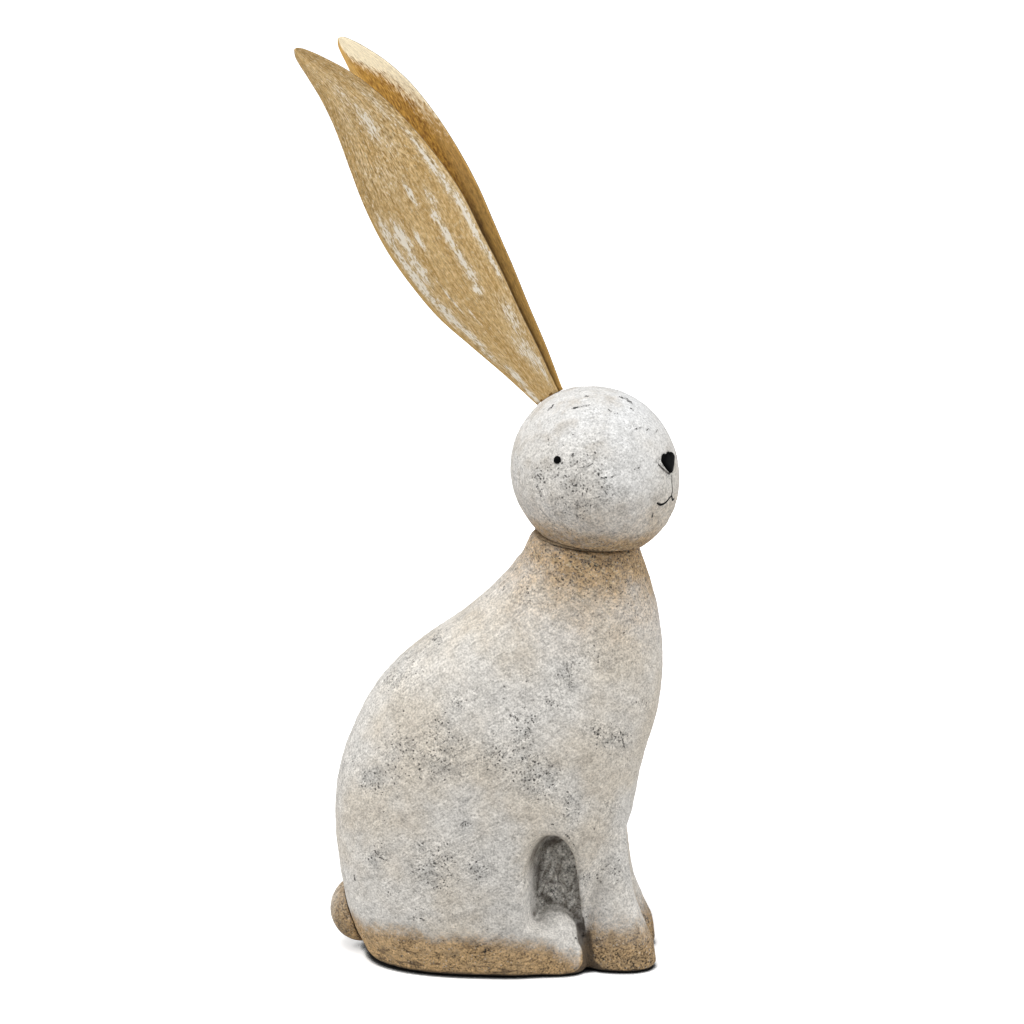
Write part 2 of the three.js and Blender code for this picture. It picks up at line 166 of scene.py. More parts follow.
def neighbours(values, edges):
    """The mean of each point's neighbours."""
    a, b = edges.T
    count = np.bincount(a, minlength=len(values)) + np.bincount(b, minlength=len(values))
    columns = values.reshape(len(values), -1).T
    total = [
        np.bincount(a, c[b], len(values)) + np.bincount(b, c[a], len(values)) for c in columns
    ]
    return (np.array(total) / np.maximum(count, 1)).T.reshape(values.shape)


def relaxed(values, edges, rounds, share=0.5):
    for _ in range(rounds):
        values = values + share * (neighbours(values, edges) - values)
    return values


def evaluated(obj):
    """The object's mesh with its modifiers, and the object gone."""
    graph = bpy.context.evaluated_depsgraph_get()
    mesh = bpy.data.meshes.new_from_object(obj.evaluated_get(graph))
    bpy.data.objects.remove(obj)
    return mesh


def loose_object(name, mesh):
    obj = bpy.data.objects.new(name, mesh)
    bpy.context.scene.collection.objects.link(obj)
    return obj


def even_copy(node, voxel):
    """A solid's mesh in even quads."""
    obj = loose_object("even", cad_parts[node].data.copy())
    remesh = obj.modifiers.new("even", "REMESH")
    remesh.mode = "VOXEL"
    remesh.voxel_size = voxel
    return evaluated(obj)


def combined(mesh, tools, operation):
    """The mesh cut by or joined with other meshes."""
    obj = loose_object("combined", mesh)
    others = []
    for tool in tools:
        other = loose_object("tool", tool)
        step = obj.modifiers.new("step", "BOOLEAN")
        step.operation = operation
        step.solver = "EXACT"
        step.object = other
        others.append(other)
    result = evaluated(obj)
    for other in others:
        bpy.data.objects.remove(other)
    result.shade_smooth()
    return result


def strip_faces(rows, around, first=0):
    """Quads between rows of points that close on themselves."""
    quads = []
    for r in range(rows - 1):
        for i in range(around):
            a = first + r * around + i
            b = first + r * around + (i + 1) % around
            quads.append((a, b, b + around, a + around))
    return quads


def tube_faces(rows, around, first=0):
    """Such quads, with a face over each end."""
    last = first + (rows - 1) * around
    ends = [tuple(reversed(range(first, first + around))), tuple(range(last, last + around))]
    return strip_faces(rows, around, first) + ends


def lathe(profile, place):
    """A solid of revolution up Z from (radius, height) pairs that start and end on the axis."""
    angles = np.linspace(0, 2 * math.pi, ROUND_STEPS, endpoint=False)
    ring = np.stack([np.cos(angles), np.sin(angles)], 1)
    inner = profile[1:-1]
    points = [(0, 0, profile[0][1])]
    for radius, height in inner:
        points += [(radius * c, radius * s, height) for c, s in ring]
    points.append((0, 0, profile[-1][1]))
    faces = strip_faces(len(inner), ROUND_STEPS, 1)
    last = len(points) - 1
    top = last - ROUND_STEPS
    for i in range(ROUND_STEPS):
        j = (i + 1) % ROUND_STEPS
        faces.append((0, 1 + j, 1 + i))
        faces.append((last, top + i, top + j))
    return mesh_of("lathe", moved(points, place), faces)


def slab(size, centre, place):
    """A box mesh, for cutting."""
    corners = [(x, y, z) for x in (-0.5, 0.5) for y in (-0.5, 0.5) for z in (-0.5, 0.5)]
    points = np.array(corners) * size + centre
    faces = [(0, 1, 3, 2), (4, 6, 7, 5), (0, 4, 5, 1), (2, 3, 7, 6), (0, 2, 6, 4), (1, 5, 7, 3)]
    return mesh_of("slab", moved(points, place), faces, smooth=False)


def field(points, size, seed):
    """Smooth noise from about -1 to 1, with lumps of a size in the points' own unit."""
    shift = Vector((17.3, 9.1, 5.7)) * seed
    return np.array([noise.noise(Vector(p) / size + shift) for p in points])


def ramp(low, high, value):
    """From 0 at low to 1 at high, smoothly."""
    t = np.clip((value - low) / (high - low), 0, 1)
    return t * t * (3 - 2 * t)


def line_through(pairs):
    """A smooth curve through (place, value) pairs, as the solids have it."""
    x, y = np.array(pairs, float).T
    slope = np.gradient(y, x)
    slope[1:-1] = (y[2:] - y[:-2]) / (x[2:] - x[:-2])

    def at(place):
        i = np.clip(np.searchsorted(x, place, side="right") - 1, 0, len(x) - 2)
        span = x[i + 1] - x[i]
        rise = y[i + 1] - y[i]
        t = np.clip((place - x[i]) / span, 0, 1)
        swing = ((1 - t) * slope[i] - t * slope[i + 1]) * span
        return y[i] + t * rise + t * (1 - t) * (swing + (2 * t - 1) * rise)

    return at


def in_body(points):
    """Points in the body's own frame, in millimetres."""
    return moved(points, BODY.inverted())


def attributes(mesh, **layers):
    """Values at the points, one each or one for all, by name."""
    for name, values in layers.items():
        layer = mesh.attributes.new(name, "FLOAT", "POINT")
        layer.data.foreach_set("value", np.full(len(mesh.vertices), values, np.float32))


# Surface of the castings: lumps of the hand, trowel strokes, pits


STROKE = np.array(turned(42, "Y"))[:3, :3]
STROKE_STRETCH = np.array([1, 2.4, 5.5])
# Waves of the skin: size in metres, height in millimetres, and whether they follow the strokes
SKIN_WAVES = [
    (0.055, 0.6, False),
    (0.022, 0.3, False),
    (0.03, 0.25, True),
    (0.012, 0.16, True),
    (0.0052, 0.11, False),
]
# Pits: cell in metres, share of cells with a pit, radius in cells, depth in millimetres
PIT_CELL = 0.021
PIT_SHARE = 0.3
PIT_RADIUS = 0.16
PIT_DEPTH = 0.9
# At the ears' root the skin may not stand out, and beyond CALM_FAR by the limit, in metres
CALM_NEAR = 0.016
CALM_FAR = 0.03
CALM_LIMIT = 0.004


def roughness_of(points, seed):
    """How far the trowelled skin stands out, in metres."""
    along = points @ STROKE * STROKE_STRETCH
    out = np.zeros(len(points))
    for i, (size, height, stroked) in enumerate(SKIN_WAVES):
        out += field(along if stroked else points, size, seed + i) * height
    return out * MM


def pits_of(points, seed):
    """Small round holes, scattered: how deep, in metres."""
    out = np.zeros(len(points))
    shift = Vector((3.1, 7.7, 1.9)) * seed
    for i, p in enumerate(points):
        distance, near = noise.voronoi(Vector(p) / PIT_CELL + shift)
        chance = noise.cell(near[0] * 7.31)
        if chance * 0.5 + 0.5 < PIT_SHARE:
            out[i] = max(0.0, 1 - distance[0] / PIT_RADIUS)
    return ramp(0, 0.8, out) * PIT_DEPTH * MM


def trowelled(mesh, seed, limit=np.inf):
    """Gives a casting its skin. limit is how far out each point may go."""
    co = coordinates(mesh)
    out = np.minimum(roughness_of(co, seed) - pits_of(co, seed), limit)
    co = co + normals(mesh) * out[:, None]
    co[:, 2] = np.maximum(co[:, 2], 0)
    put_back(mesh, co)
    mesh.shade_smooth()
    return mesh


# Body


def body_mesh():
    """The casting, smoothed most on its open sides and at the lips of the flank hollows."""
    mesh = even_copy("body_shell", BODY_VOXEL)
    edges = links(mesh)
    co = relaxed(coordinates(mesh), edges, 6)
    x, y, z = in_body(co).T
    plain = np.maximum(ramp(18, 10, x), ramp(114, 126, z)) * ramp(6, 16, z)
    lip = ramp(44, 50, np.abs(y)) * ramp(62, 56, x) * ramp(42, 50, z)
    co = relaxed(co, edges, 24, 0.5 * np.maximum(plain, lip)[:, None])
    put_back(mesh, co)
    return trowelled(mesh, 1)


def tail_mesh():
    mesh = even_copy("tail", TAIL_VOXEL)
    put_back(mesh, relaxed(coordinates(mesh), links(mesh), 10))
    return trowelled(mesh, 5)


# Head


def ball(steps):
    """A unit ball of even quads."""
    edge = np.tan(np.linspace(-math.pi / 4, math.pi / 4, steps + 1))
    bm = bmesh.new()
    for axis in range(3):
        for sign in (-1, 1):
            grid = {}
            for i, a in enumerate(edge):
                for j, b in enumerate(edge):
                    p = [0, 0, 0]
                    p[axis] = sign
                    p[(axis + 1) % 3] = a * sign
                    p[(axis + 2) % 3] = b
                    grid[i, j] = bm.verts.new(Vector(p).normalized())
            for i in range(steps):
                for j in range(steps):
                    bm.faces.new([grid[i, j], grid[i + 1, j], grid[i + 1, j + 1], grid[i, j + 1]])
    bmesh.ops.remove_doubles(bm, verts=bm.verts, dist=1e-5)
    mesh = bpy.data.meshes.new("ball")
    bm.to_mesh(mesh)
    bm.free()
    return mesh


def on_face(turn, rise):
    """A frame on the skin of the head: Z out, X to the side, Y up the face."""
    out = turned(-turn, "Z") @ turned(-rise, "Y") @ Vector((1, 0, 0))
    axis = turned(-EAR_LEAN, "Y") @ Vector((0, 0, 1))
    along = out.dot(axis) / HEAD_LENGTH
    across = out.cross(axis).length / HEAD_WIDTH
    side = Vector((0, 0, 1)).cross(out).normalized()
    up = out.cross(side)
    place = Matrix((side, up, out)).transposed().to_4x4()
    place.translation = out * 0.5 / math.hypot(along, across)
    return HEAD @ place


def nose_outline(grow, steps):
    """The nose seen from the front: two lobes over a point."""
    w = NOSE_WIDTH / 2 + grow
    h = NOSE_HEIGHT / 2 + grow
    half = [
        [(0, -h), (w * 0.3, -h * 0.88), (w * 0.8, -h * 0.05), (w, h * 0.43)],
        [(w, h * 0.43), (w * 0.86, h * 1.0), (w * 0.36, h * 1.13), (0, h * 0.88)],
    ]
    curves = half + [[(-x, y) for x, y in reversed(curve)] for curve in reversed(half)]
    points = []
    for a, b, c, d in curves:
        for t in np.arange(steps) / steps:
            u = 1 - t
            k = (u**3, 3 * u * u * t, 3 * u * t * t, t**3)
            points.append(sum(f * np.array(q) for f, q in zip(k, (a, b, c, d))))
    return np.array(points)


def nose_mesh():
    """A pad with a soft edge and a crowned front."""
    outline = nose_outline(0, NOSE_STEPS)
    middle = np.array([0, NOSE_HEIGHT * 0.08])
    rounds = [(1, -NOSE_SINK), (1, 0), (0.985, 0.45), (0.93, 0.78), (0.82, 0.93), (0.6, 0.985), (0.3, 1)]
    points = []
    for share, rise in rounds:
        height = rise * NOSE_PROUD if rise > 0 else rise
        points += [(*(middle + (p - middle) * share), height) for p in outline]
    count = len(outline)
    faces = strip_faces(len(rounds), count)
    points += [(*middle, -NOSE_SINK), (*middle, NOSE_PROUD)]
    back, front = len(points) - 2, len(points) - 1
    last = (len(rounds) - 1) * count
    for i in range(count):
        j = (i + 1) % count
        faces += [(back, j, i), (front, last + i, last + j)]
    return mesh_of("nose", moved(points, on_face(0, NOSE_RISE)), faces)


def nose_socket():
    outline = nose_outline(GAP, SOCKET_STEPS)
    depths = (-NOSE_SINK - GAP, NOSE_SINK)
    points = [(*p, depth) for depth in depths for p in outline]
    place = on_face(0, NOSE_RISE)
    return mesh_of("socket", moved(points, place), tube_faces(2, len(outline)), smooth=False)


def eye_mesh(side):
    arc = [math.radians(a) for a in range(0, 90, 10)]
    dome = [(EYE_RADIUS * math.cos(a), GAP + EYE_DOME * math.sin(a)) for a in arc]
    stem = [(0, -EYE_PEG), (EYE_PEG_RADIUS, -EYE_PEG), (EYE_PEG_RADIUS, GAP)]
    profile = stem + dome + [(0, GAP + EYE_DOME)]
    return lathe(profile, on_face(-side * EYE_TURN, EYE_RISE))


def post(radius, start, end, place):
    """A round bar, for cutting."""
    return lathe([(0, start), (radius, start), (radius, end), (0, end)], place)


def head_mesh():
    mesh = ball(HEAD_STEPS)
    half = np.array([HEAD_WIDTH, HEAD_WIDTH, HEAD_LENGTH]) / 2
    put_back(mesh, moved(coordinates(mesh) * half, EAR))
    root = EAR @ Vector((EAR_FORWARD, 0, HEAD_LENGTH / 2))
    away = np.linalg.norm(coordinates(mesh) - np.array(root), axis=1)
    trowelled(mesh, 9, ramp(CALM_NEAR, CALM_FAR, away) * CALM_LIMIT)
    seat = slab((CUT_SIZE, CUT_SIZE, CUT_SIZE), (0, 0, SEAT_RISE - CUT_SIZE / 2), SEAT)
    dowel = post(DOWEL_RADIUS, SEAT_RISE - OVERCUT, SEAT_RISE + DOWEL_DEPTH, SEAT)
    cuts = [seat, dowel, nose_socket()]
    for side in (RIGHT, LEFT):
        size = (TANG_WIDTH + 2 * SLOT_GAP, EAR_SHEET + 2 * SLOT_GAP, 2 * (TANG_LENGTH + GAP))
        cuts.append(slab(size, (EAR_FORWARD, side * EAR_GAP / 2, HEAD_LENGTH / 2), EAR))
        eye = on_face(-side * EYE_TURN, EYE_RISE)
        cuts.append(post(EYE_PEG_RADIUS + GAP, -EYE_PEG - GAP, EYE_PEG, eye))
    return combined(mesh, cuts, "DIFFERENCE")


def stroke_mesh(skin, paths):
    """Thin painted lines on the head: paths of (turn, rise, half width) along its skin."""
    points, faces = [], []
    middle = HEAD.translation
    for path in paths:
        knots = np.array(path, float)
        places = np.linspace(0, len(knots) - 1, LINE_STEPS * len(knots))
        smooth = [line_through(list(enumerate(c)))(places) for c in knots.T]
        spots = []
        for turn, rise, width in zip(*smooth):
            out = (on_face(turn, rise).translation - middle).normalized()
            hit = skin.ray_cast(middle + out * HEAD_LENGTH * MM, -out)[0]
            spots.append((hit, out, width))
        first = len(points)
        for i, (hit, out, width) in enumerate(spots):
            ahead = spots[min(i + 1, len(spots) - 1)][0] - spots[max(i - 1, 0)][0]
            across = out.cross(ahead).normalized()
            for k in range(LINE_SIDES):
                a = 2 * math.pi * k / LINE_SIDES
                points.append(hit + (across * math.cos(a) * width + out * math.sin(a) * LINE_RISE) * MM)
        faces += tube_faces(len(spots), LINE_SIDES, first)
    return mesh_of("strokes", points, faces)


# How far painted lines stand out, in millimetres
LINE_RISE = 0.16
# The mouth, from the nose down and then to both sides: turn and rise in degrees, half width
MOUTH = [
    [(-1.3, 4.2, 0.36), (-0.8, 0.5, 0.42), (-1.2, -3.5, 0.4), (-1.6, -6.8, 0.45), (-0.8, -9.9, 0.7)],
    [(-0.8, -9.7, 0.65), (3.5, -11.8, 0.8), (7.4, -13.4, 0.85), (12.0, -13.4, 0.85), (16.2, -11.3, 0.6)],
    [(-0.8, -9.7, 0.65), (-2.2, -11.6, 0.7), (-3.8, -13.2, 0.8), (-5.4, -13.6, 0.9), (-6.6, -13.2, 0.7)],
]
# Painted shadow beside the nose, along the lower edge of its pad
NOSE_SHADOW = [[(12.6, 14.6, 0.35), (10.8, 12.6, 0.7), (7.4, 9.6, 0.8), (4.2, 7.2, 0.7), (1.4, 5.6, 0.8)]]


# Ears


def ear_edge(root, places):
    """One edge of a leaf, from its root and places in shares of its length and width."""
    return line_through([(0, root), *((s * EAR_LENGTH, out * EAR_WIDTH) for s, out in places)])


EAR_BACK = ear_edge(-EAR_ROOT, [
    (0.1, -0.224), (0.2, -0.335), (0.3, -0.444), (0.4, -0.483), (0.5, -0.475), (0.6, -0.402), (0.7, -0.268),
    (0.8, -0.12), (0.87, -0.053), (0.937, -0.02), (0.97, -0.008), (0.987, 0.006), (1, 0.04),
])
EAR_FRONT = ear_edge(EAR_ROOT, [
    (0.1, 0.223), (0.2, 0.298), (0.3, 0.383), (0.4, 0.455), (0.5, 0.524), (0.6, 0.547), (0.7, 0.527),
    (0.8, 0.465), (0.88, 0.36), (0.948, 0.222), (0.975, 0.155), (0.991, 0.108), (1, 0.066),
])
# Worn spots on the outside of an ear: along, across, their half sizes, and how bare
EAR_WORN = [
    (0.4, -0.8, 0.09, 0.09, 1.0), (0.53, -0.78, 0.05, 0.12, 0.8), (0.29, -0.74, 0.05, 0.12, 0.9),
    (0.5, -0.52, 0.045, 0.12, 1.0), (0.42, -0.58, 0.05, 0.1, 0.9), (0.47, -0.22, 0.03, 0.05, 1.0),
    (0.32, -0.38, 0.05, 0.025, 0.9), (0.26, -0.24, 0.03, 0.03, 0.8), (0.57, 0.13, 0.035, 0.05, 1.0),
    (0.53, 0.45, 0.03, 0.08, 0.7), (0.49, 0.34, 0.02, 0.07, 0.9), (0.44, 0.36, 0.035, 0.07, 1.1),
    (0.375, 0.36, 0.03, 0.08, 1.0), (0.335, 0.36, 0.02, 0.1, 0.9), (0.3, 0.3, 0.02, 0.1, 0.9),
    (0.6, 0.84, 0.12, 0.07, 0.9), (0.45, 0.9, 0.1, 0.06, 1.0), (0.33, 0.93, 0.06, 0.05, 0.9),
    (0.2, 0.7, 0.05, 0.2, 0.7), (0.11, 0.55, 0.05, 0.25, 0.75), (0.07, 0.75, 0.05, 0.12, 0.8),
    (0.08, -0.62, 0.04, 0.14, 0.9), (0.02, -0.75, 0.03, 0.15, 1.0), (0.16, -0.8, 0.04, 0.1, 0.7),
    (0.85, 0.00, 0.06, 0.3, 0.5), (0.8, -0.4, 0.05, 0.25, 0.35), (0.76, 0.15, 0.06, 0.2, 0.75),
    (0.7, 0.3, 0.05, 0.2, 0.4), (0.68, -0.55, 0.04, 0.15, 0.35), (0.63, -0.15, 0.05, 0.3, 0.35),
    (0.92, -0.35, 0.03, 0.3, 0.3), (0.78, 0.72, 0.06, 0.12, 0.6), (0.8, 0.66, 0.07, 0.1, 0.5),
    (0.47, -0.8, 0.06, 0.08, 0.8), (0.22, -0.72, 0.06, 0.1, 0.8), (0.13, 0.35, 0.04, 0.2, 0.6),
]


def worn_at(along, across):
    """How much of the paint is worn at places on an ear, from 0 to about 1."""
    worn = np.zeros(len(along))
    for u, t, long, wide, bare in EAR_WORN:
        away = ((along - u) / long) ** 2 + ((across - t) / wide) ** 2
        worn = np.maximum(worn, bare * np.exp(-away * 0.7))
    return worn


def ear_spot(side, s, t, skin):
    """Places on an ear: s up the leaf in millimetres, t across it from -1 to 1, skin off its middle."""
    half = (EAR_FRONT(s) - EAR_BACK(s)) / 2
    x = EAR_FORWARD + (EAR_FRONT(s) + EAR_BACK(s)) / 2 + half * t
    spine = EAR_GAP / 2 + EAR_FLARE * np.maximum(s / EAR_LENGTH, 0)
    y = spine - (half * t) ** 2 / (2 * EAR_CUP) + skin
    return np.stack([x, side * y, HEAD_LENGTH / 2 + s], -1)


def ear_foot(side, across):
    """Where the leaf starts, so that its lower edge follows the ball of the head."""
    wide = HEAD_WIDTH / 2 + GAP
    long = HEAD_LENGTH / 2 + GAP
    start = np.zeros(len(across))
    for _ in range(4):
        p = ear_spot(side, start, across, 0)
        share = 1 - (p[:, 0] ** 2 + p[:, 1] ** 2) / wide**2
        start = long * np.sqrt(share) - HEAD_LENGTH / 2
    return start


def ear_mesh(side):
    """A cupped leaf of sheet metal with a round edge, standing on its tang."""
    across = np.linspace(-1, 1, EAR_COLUMNS)
    rows = 1 - (1 - np.linspace(0, 1, EAR_ROWS)) ** 1.15
    start = ear_foot(side, across)
    swell = np.array([EAR_SHEET * 0.3, 0, 0])
    points = []
    for u in rows:
        s = start + (EAR_LENGTH - start) * u
        wave = np.array([noise.noise(Vector((t * 1.1, u * 9, side * 4.0))) for t in across])
        dent = np.array([noise.noise(Vector((t * 3.1, u * 24, side * 9.0))) for t in across])
        bend = (wave * 0.5 + dent * 0.12) * ramp(0.05, 0.25, u)
        inner = ear_spot(side, s, across, bend - EAR_SHEET / 2)
        outer = ear_spot(side, s, across, bend + EAR_SHEET / 2)
        middle = (inner + outer) / 2
        points += [*inner, middle[-1] + swell, *outer[::-1], middle[0] - swell]
    around = 2 * EAR_COLUMNS + 2
    faces = tube_faces(EAR_ROWS, around)
    if side == RIGHT:
        faces = [tuple(reversed(f)) for f in faces]
    mesh = mesh_of("leaf", moved(points, EAR), faces)
    along = np.repeat(rows, around)
    over = np.tile([*across, 1, *across[::-1], -1], EAR_ROWS)
    outside = np.tile([0] * EAR_COLUMNS + [0.5] + [1] * EAR_COLUMNS + [0.5], EAR_ROWS)
    attributes(mesh, along=along, across=over, outside=outside, worn=worn_at(along, over))
    length = TANG_LENGTH + EAR_ROOT * 0.3
    centre = (EAR_FORWARD, side * EAR_GAP / 2, HEAD_LENGTH / 2 - TANG_LENGTH + length / 2)
    tang = slab((TANG_WIDTH, EAR_SHEET * 0.96, length), centre, EAR)
    return combined(mesh, [tang], "UNION")


# Neck bed


BED_HOLE = 6.4
BED_LOW = 0.35
BED_HIGH = 1.75
# Rim of the bed from its underside to its top: radius and height
BED_RIM = [(30, BED_LOW), (32.2, 0.25), (32.9, 0.45), (32.8, 1.0), (32.2, 1.6), (30, BED_HIGH)]


def bed_mesh():
    """The rough ring of mortar that shows in the crease under the head."""
    profile = [(BED_HOLE, BED_LOW), *BED_RIM, (BED_HOLE, BED_HIGH)]
    points = []
    for radius, height in profile:
        for k in range(BED_STEPS):
            a = 2 * math.pi * k / BED_STEPS
            spot = Vector((math.cos(a), math.sin(a), 0))
            rough = noise.noise(spot * 9 + Vector((0, 0, height))) * 0.5 + noise.noise(spot * 26) * 0.35
            r = radius + (rough if radius > BED_HOLE else 0)
            points.append((spot.x * r, spot.y * r, height))
    faces = strip_faces(len(profile), BED_STEPS)
    last = (len(profile) - 1) * BED_STEPS
    faces += [(last + k, last + (k + 1) % BED_STEPS, (k + 1) % BED_STEPS, k) for k in range(BED_STEPS)]
    return mesh_of("bed", moved(points, SEAT), faces)


# What each point of the castings has gone through


# Rays from the skin: how far they look for cover and towards the camera, and their start, in metres
COVER_REACH = 0.045
VIEW_REACH = 0.3
RAY_LIFT = 0.0006
RAY_SPREAD = 0.98
COVER_RAYS = 10
SPECK_SEED = 39


def sky(mesh, surroundings, seed):
    """The share of each point's half-space that something near covers."""
    rng = np.random.default_rng(seed)
    dirs = rng.normal(size=(COVER_RAYS, 3))
    dirs /= np.linalg.norm(dirs, axis=1)[:, None]
    cover = np.zeros(len(mesh.vertices))
    for i, (p, n) in enumerate(zip(coordinates(mesh), normals(mesh))):
        normal = Vector(n)
        origin = Vector(p) + normal * RAY_LIFT
        for d in dirs:
            ray = normal + Vector(d) * RAY_SPREAD
            hit = surroundings.ray_cast(origin, ray.normalized(), COVER_REACH)
            if hit[0] is not None:
                cover[i] += 1 - (hit[3] / COVER_REACH) ** 2
    return relaxed(cover / COVER_RAYS, links(mesh), 3)


def tree_of(meshes):
    points, faces = [], []
    for mesh in meshes:
        first = len(points)
        points += [tuple(v.co) for v in mesh.vertices]
        faces += [tuple(first + k for k in p.vertices) for p in mesh.polygons]
    return BVHTree.FromPolygons(points, faces)


# Marks on the side that the photo shows, listed in pixels of its frame

# Clusters of dark specks: middle, radius, and how dense
BODY_SPECKS = [
    (525, 595, 11, 0.8), (572, 590, 9, 0.7), (540, 556, 9, 0.9), (568, 562, 15, 0.9), (594, 569, 18, 0.9),
    (627, 554, 11, 1.3), (618, 557, 9, 0.8), (567, 676, 11, 0.8), (567, 665, 7, 0.8), (459, 705, 7, 1.2),
    (515, 719, 7, 1.0), (532, 720, 7, 0.9), (525, 732, 9, 1.2), (446, 758, 26, 0.8), (497, 753, 22, 0.7),
    (524, 751, 15, 0.9), (527, 770, 20, 0.9), (605, 738, 15, 0.8), (595, 730, 11, 0.6), (622, 738, 13, 0.6),
    (437, 730, 15, 0.6), (400, 751, 22, 0.6), (374, 781, 13, 1.2), (436, 637, 13, 0.7), (411, 660, 17, 0.6),
    (393, 682, 17, 0.7), (641, 703, 9, 0.8), (552, 704, 9, 0.7), (377, 856, 13, 0.9), (393, 891, 11, 0.6),
    (466, 825, 4, 1.6), (423, 848, 9, 0.9), (435, 870, 26, 0.8), (447, 852, 13, 0.8), (478, 867, 13, 1.0),
    (538, 778, 22, 0.9), (570, 804, 15, 0.6), (611, 806, 11, 0.6), (584, 879, 7, 0.8), (522, 880, 7, 0.7),
    (611, 872, 18, 0.5), (421, 918, 11, 0.6),
]
# On the head; the four small dense ones from (658, 461) to (670, 475) are painted shadow along the nose
# pad's lower edge
HEAD_SPECKS = [
    (592, 414, 11, 0.6), (582, 438, 13, 0.4), (571, 462, 11, 0.6), (538, 477, 9, 0.9), (541, 488, 9, 0.8),
    (572, 486, 15, 0.6), (603, 493, 13, 0.7), (586, 505, 11, 0.7), (577, 481, 48, 0.55), (658, 461, 3, 1.8),
    (662, 466, 3, 1.6), (667, 472, 3, 1.6), (670, 475, 3, 1.8),
]
# Painted shade and dirt in and round the flank hollow and under the chin: two ends, radius, and how dark
SHADED_CREVICES = [
    (539, 866, 538, 888, 6, 0.45), (542, 894, 550, 901, 6, 0.5), (550, 902, 562, 906, 5, 0.5),
    (565, 906, 577, 918, 6, 0.55), (546, 844, 556, 840, 6, 0.45), (576, 880, 578, 898, 6, 0.45),
    (531, 905, 533, 914, 3, 0.4), (579, 926, 583, 945, 4, 0.65), (585, 942, 590, 966, 5, 0.8),
    (526, 910, 527, 868, 8, 0.3), (527, 868, 536, 842, 8, 0.3), (536, 842, 552, 833, 7, 0.25),
    (534, 922, 570, 930, 11, 0.3), (591, 962, 597, 967, 4, 0.6),
    (582, 561, 606, 563, 11, 0.35), (612, 557, 630, 553, 8, 0.35),
]
# Rows of black nicks: two ends
MARKS = [
    (458, 705, 461, 707), (515, 714, 516, 716), (515, 723, 516, 724), (532, 719, 533, 722),
    (525, 733, 528, 730), (523, 749, 527, 747), (520, 762, 524, 755), (528, 774, 531, 770),
    (599, 743, 605, 738), (565, 665, 569, 675), (569, 676, 569, 687), (551, 704, 554, 700),
    (493, 757, 500, 751), (487, 750, 488, 754), (436, 762, 440, 758), (437, 727, 440, 731),
    (620, 730, 624, 748), (434, 641, 437, 638), (465, 824, 466, 826), (422, 848, 424, 850),
    (374, 850, 380, 857), (380, 858, 387, 861), (446, 853, 448, 859), (477, 866, 480, 869),
    (441, 877, 443, 878), (444, 883, 447, 886), (420, 918, 423, 921), (426, 935, 431, 930),
    (353, 875, 355, 880), (551, 825, 556, 825), (564, 833, 569, 838), (572, 842, 574, 846),
    (583, 878, 584, 880), (529, 844, 530, 846), (608, 587, 611, 592), (525, 556, 527, 558),
    (556, 563, 561, 567), (575, 569, 580, 571), (594, 565, 601, 568), (617, 556, 618, 560),
    (624, 556, 629, 552), (575, 937, 576, 938), (441, 972, 450, 973), (547, 411, 553, 405),
    (572, 409, 579, 407), (579, 407, 594, 405), (585, 396, 588, 396), (609, 410, 611, 411),
    (615, 414, 618, 413), (620, 397, 627, 399), (628, 400, 633, 404), (631, 408, 633, 410),
    (634, 429, 641, 428), (646, 430, 650, 429), (655, 433, 657, 430), (653, 513, 652, 517),
    (578, 468, 586, 467), (588, 467, 593, 463), (600, 478, 607, 477), (611, 478, 616, 475),
    (570, 461, 573, 465), (538, 475, 542, 480), (586, 504, 588, 507), (605, 491, 607, 495),
    (634, 470, 639, 468),
]
MARK_RADIUS = 1.7
# Lines further than this from a piece belong to another one
MARK_REACH = 8


def photo_view(mesh, surroundings):
    """Where each point shows in the photo's frame, in pixels. Hidden points lie far outside it."""
    look = (CAMERA_TARGET - CAMERA_PLACE).normalized()
    right = look.cross(Vector((0, 0, 1))).normalized()
    down = look.cross(right)
    co = coordinates(mesh)
    away = co - np.array(CAMERA_PLACE)
    depth = (away @ np.array(look))[:, None]
    flat = away @ np.array((right, down)).T / depth * CAMERA_LENS / CAMERA_SENSOR * PHOTO_SIZE
    flat += PHOTO_SIZE / 2
    for i, (p, n) in enumerate(zip(co, normals(mesh))):
        back = (CAMERA_PLACE - Vector(p)).normalized()
        origin = Vector(p) + Vector(n) * RAY_LIFT
        if back.dot(Vector(n)) < 0 or surroundings.ray_cast(origin, back, VIEW_REACH)[0] is not None:
            flat[i] = -PHOTO_SIZE
    return flat


def specks_of(place, seen, clusters, seed):
    """How dense the dark specks are, from 0 to about 1, at places in millimetres."""
    dense = 0.4 * field(place, 50, seed) + 0.3 * field(place, 18, seed + 1) + 0.05
    for x, y, radius, strength in clusters:
        away = np.linalg.norm(seen - (x, y), axis=1)
        dense = np.maximum(dense, 0.85 * strength * np.exp(-((away / radius) ** 2)) + 0.5 * dense)
    return np.clip(dense, 0, 2)


def near_lines(seen, lines):
    """How dark the lines make each point, from 0 to 1. Lines that lie off the piece leave no mark."""
    near = np.zeros(len(seen))
    for x0, y0, x1, y1, radius, strength in lines:
        ends = np.array([(x0, y0), (x1, y1)], float)
        first, last = (seen[np.linalg.norm(seen - end, axis=1).argmin()] for end in ends)
        if np.linalg.norm(ends - (first, last), axis=1).max() > MARK_REACH:
            continue
        way = last - first
        share = np.clip((seen - first) @ way / max(way @ way, 1e-9), 0, 1)
        away = np.linalg.norm(seen - first - share[:, None] * way, axis=1)
        near = np.maximum(near, strength * np.exp(-((away / radius) ** 2)))
    return near


def band_top(x):
    """Height of the brown band along the ground, by place along the body."""
    places = (-103, -93, -82, -65, -50, -37, -24, -11, 2, 14, 34, 46, 56, 62, 110)
    heights = (14, 34, 28, 31, 32, 29, 31, 32, 29, 27, 24, 17, 10, 31, 29)
    return np.interp(x, places, heights)


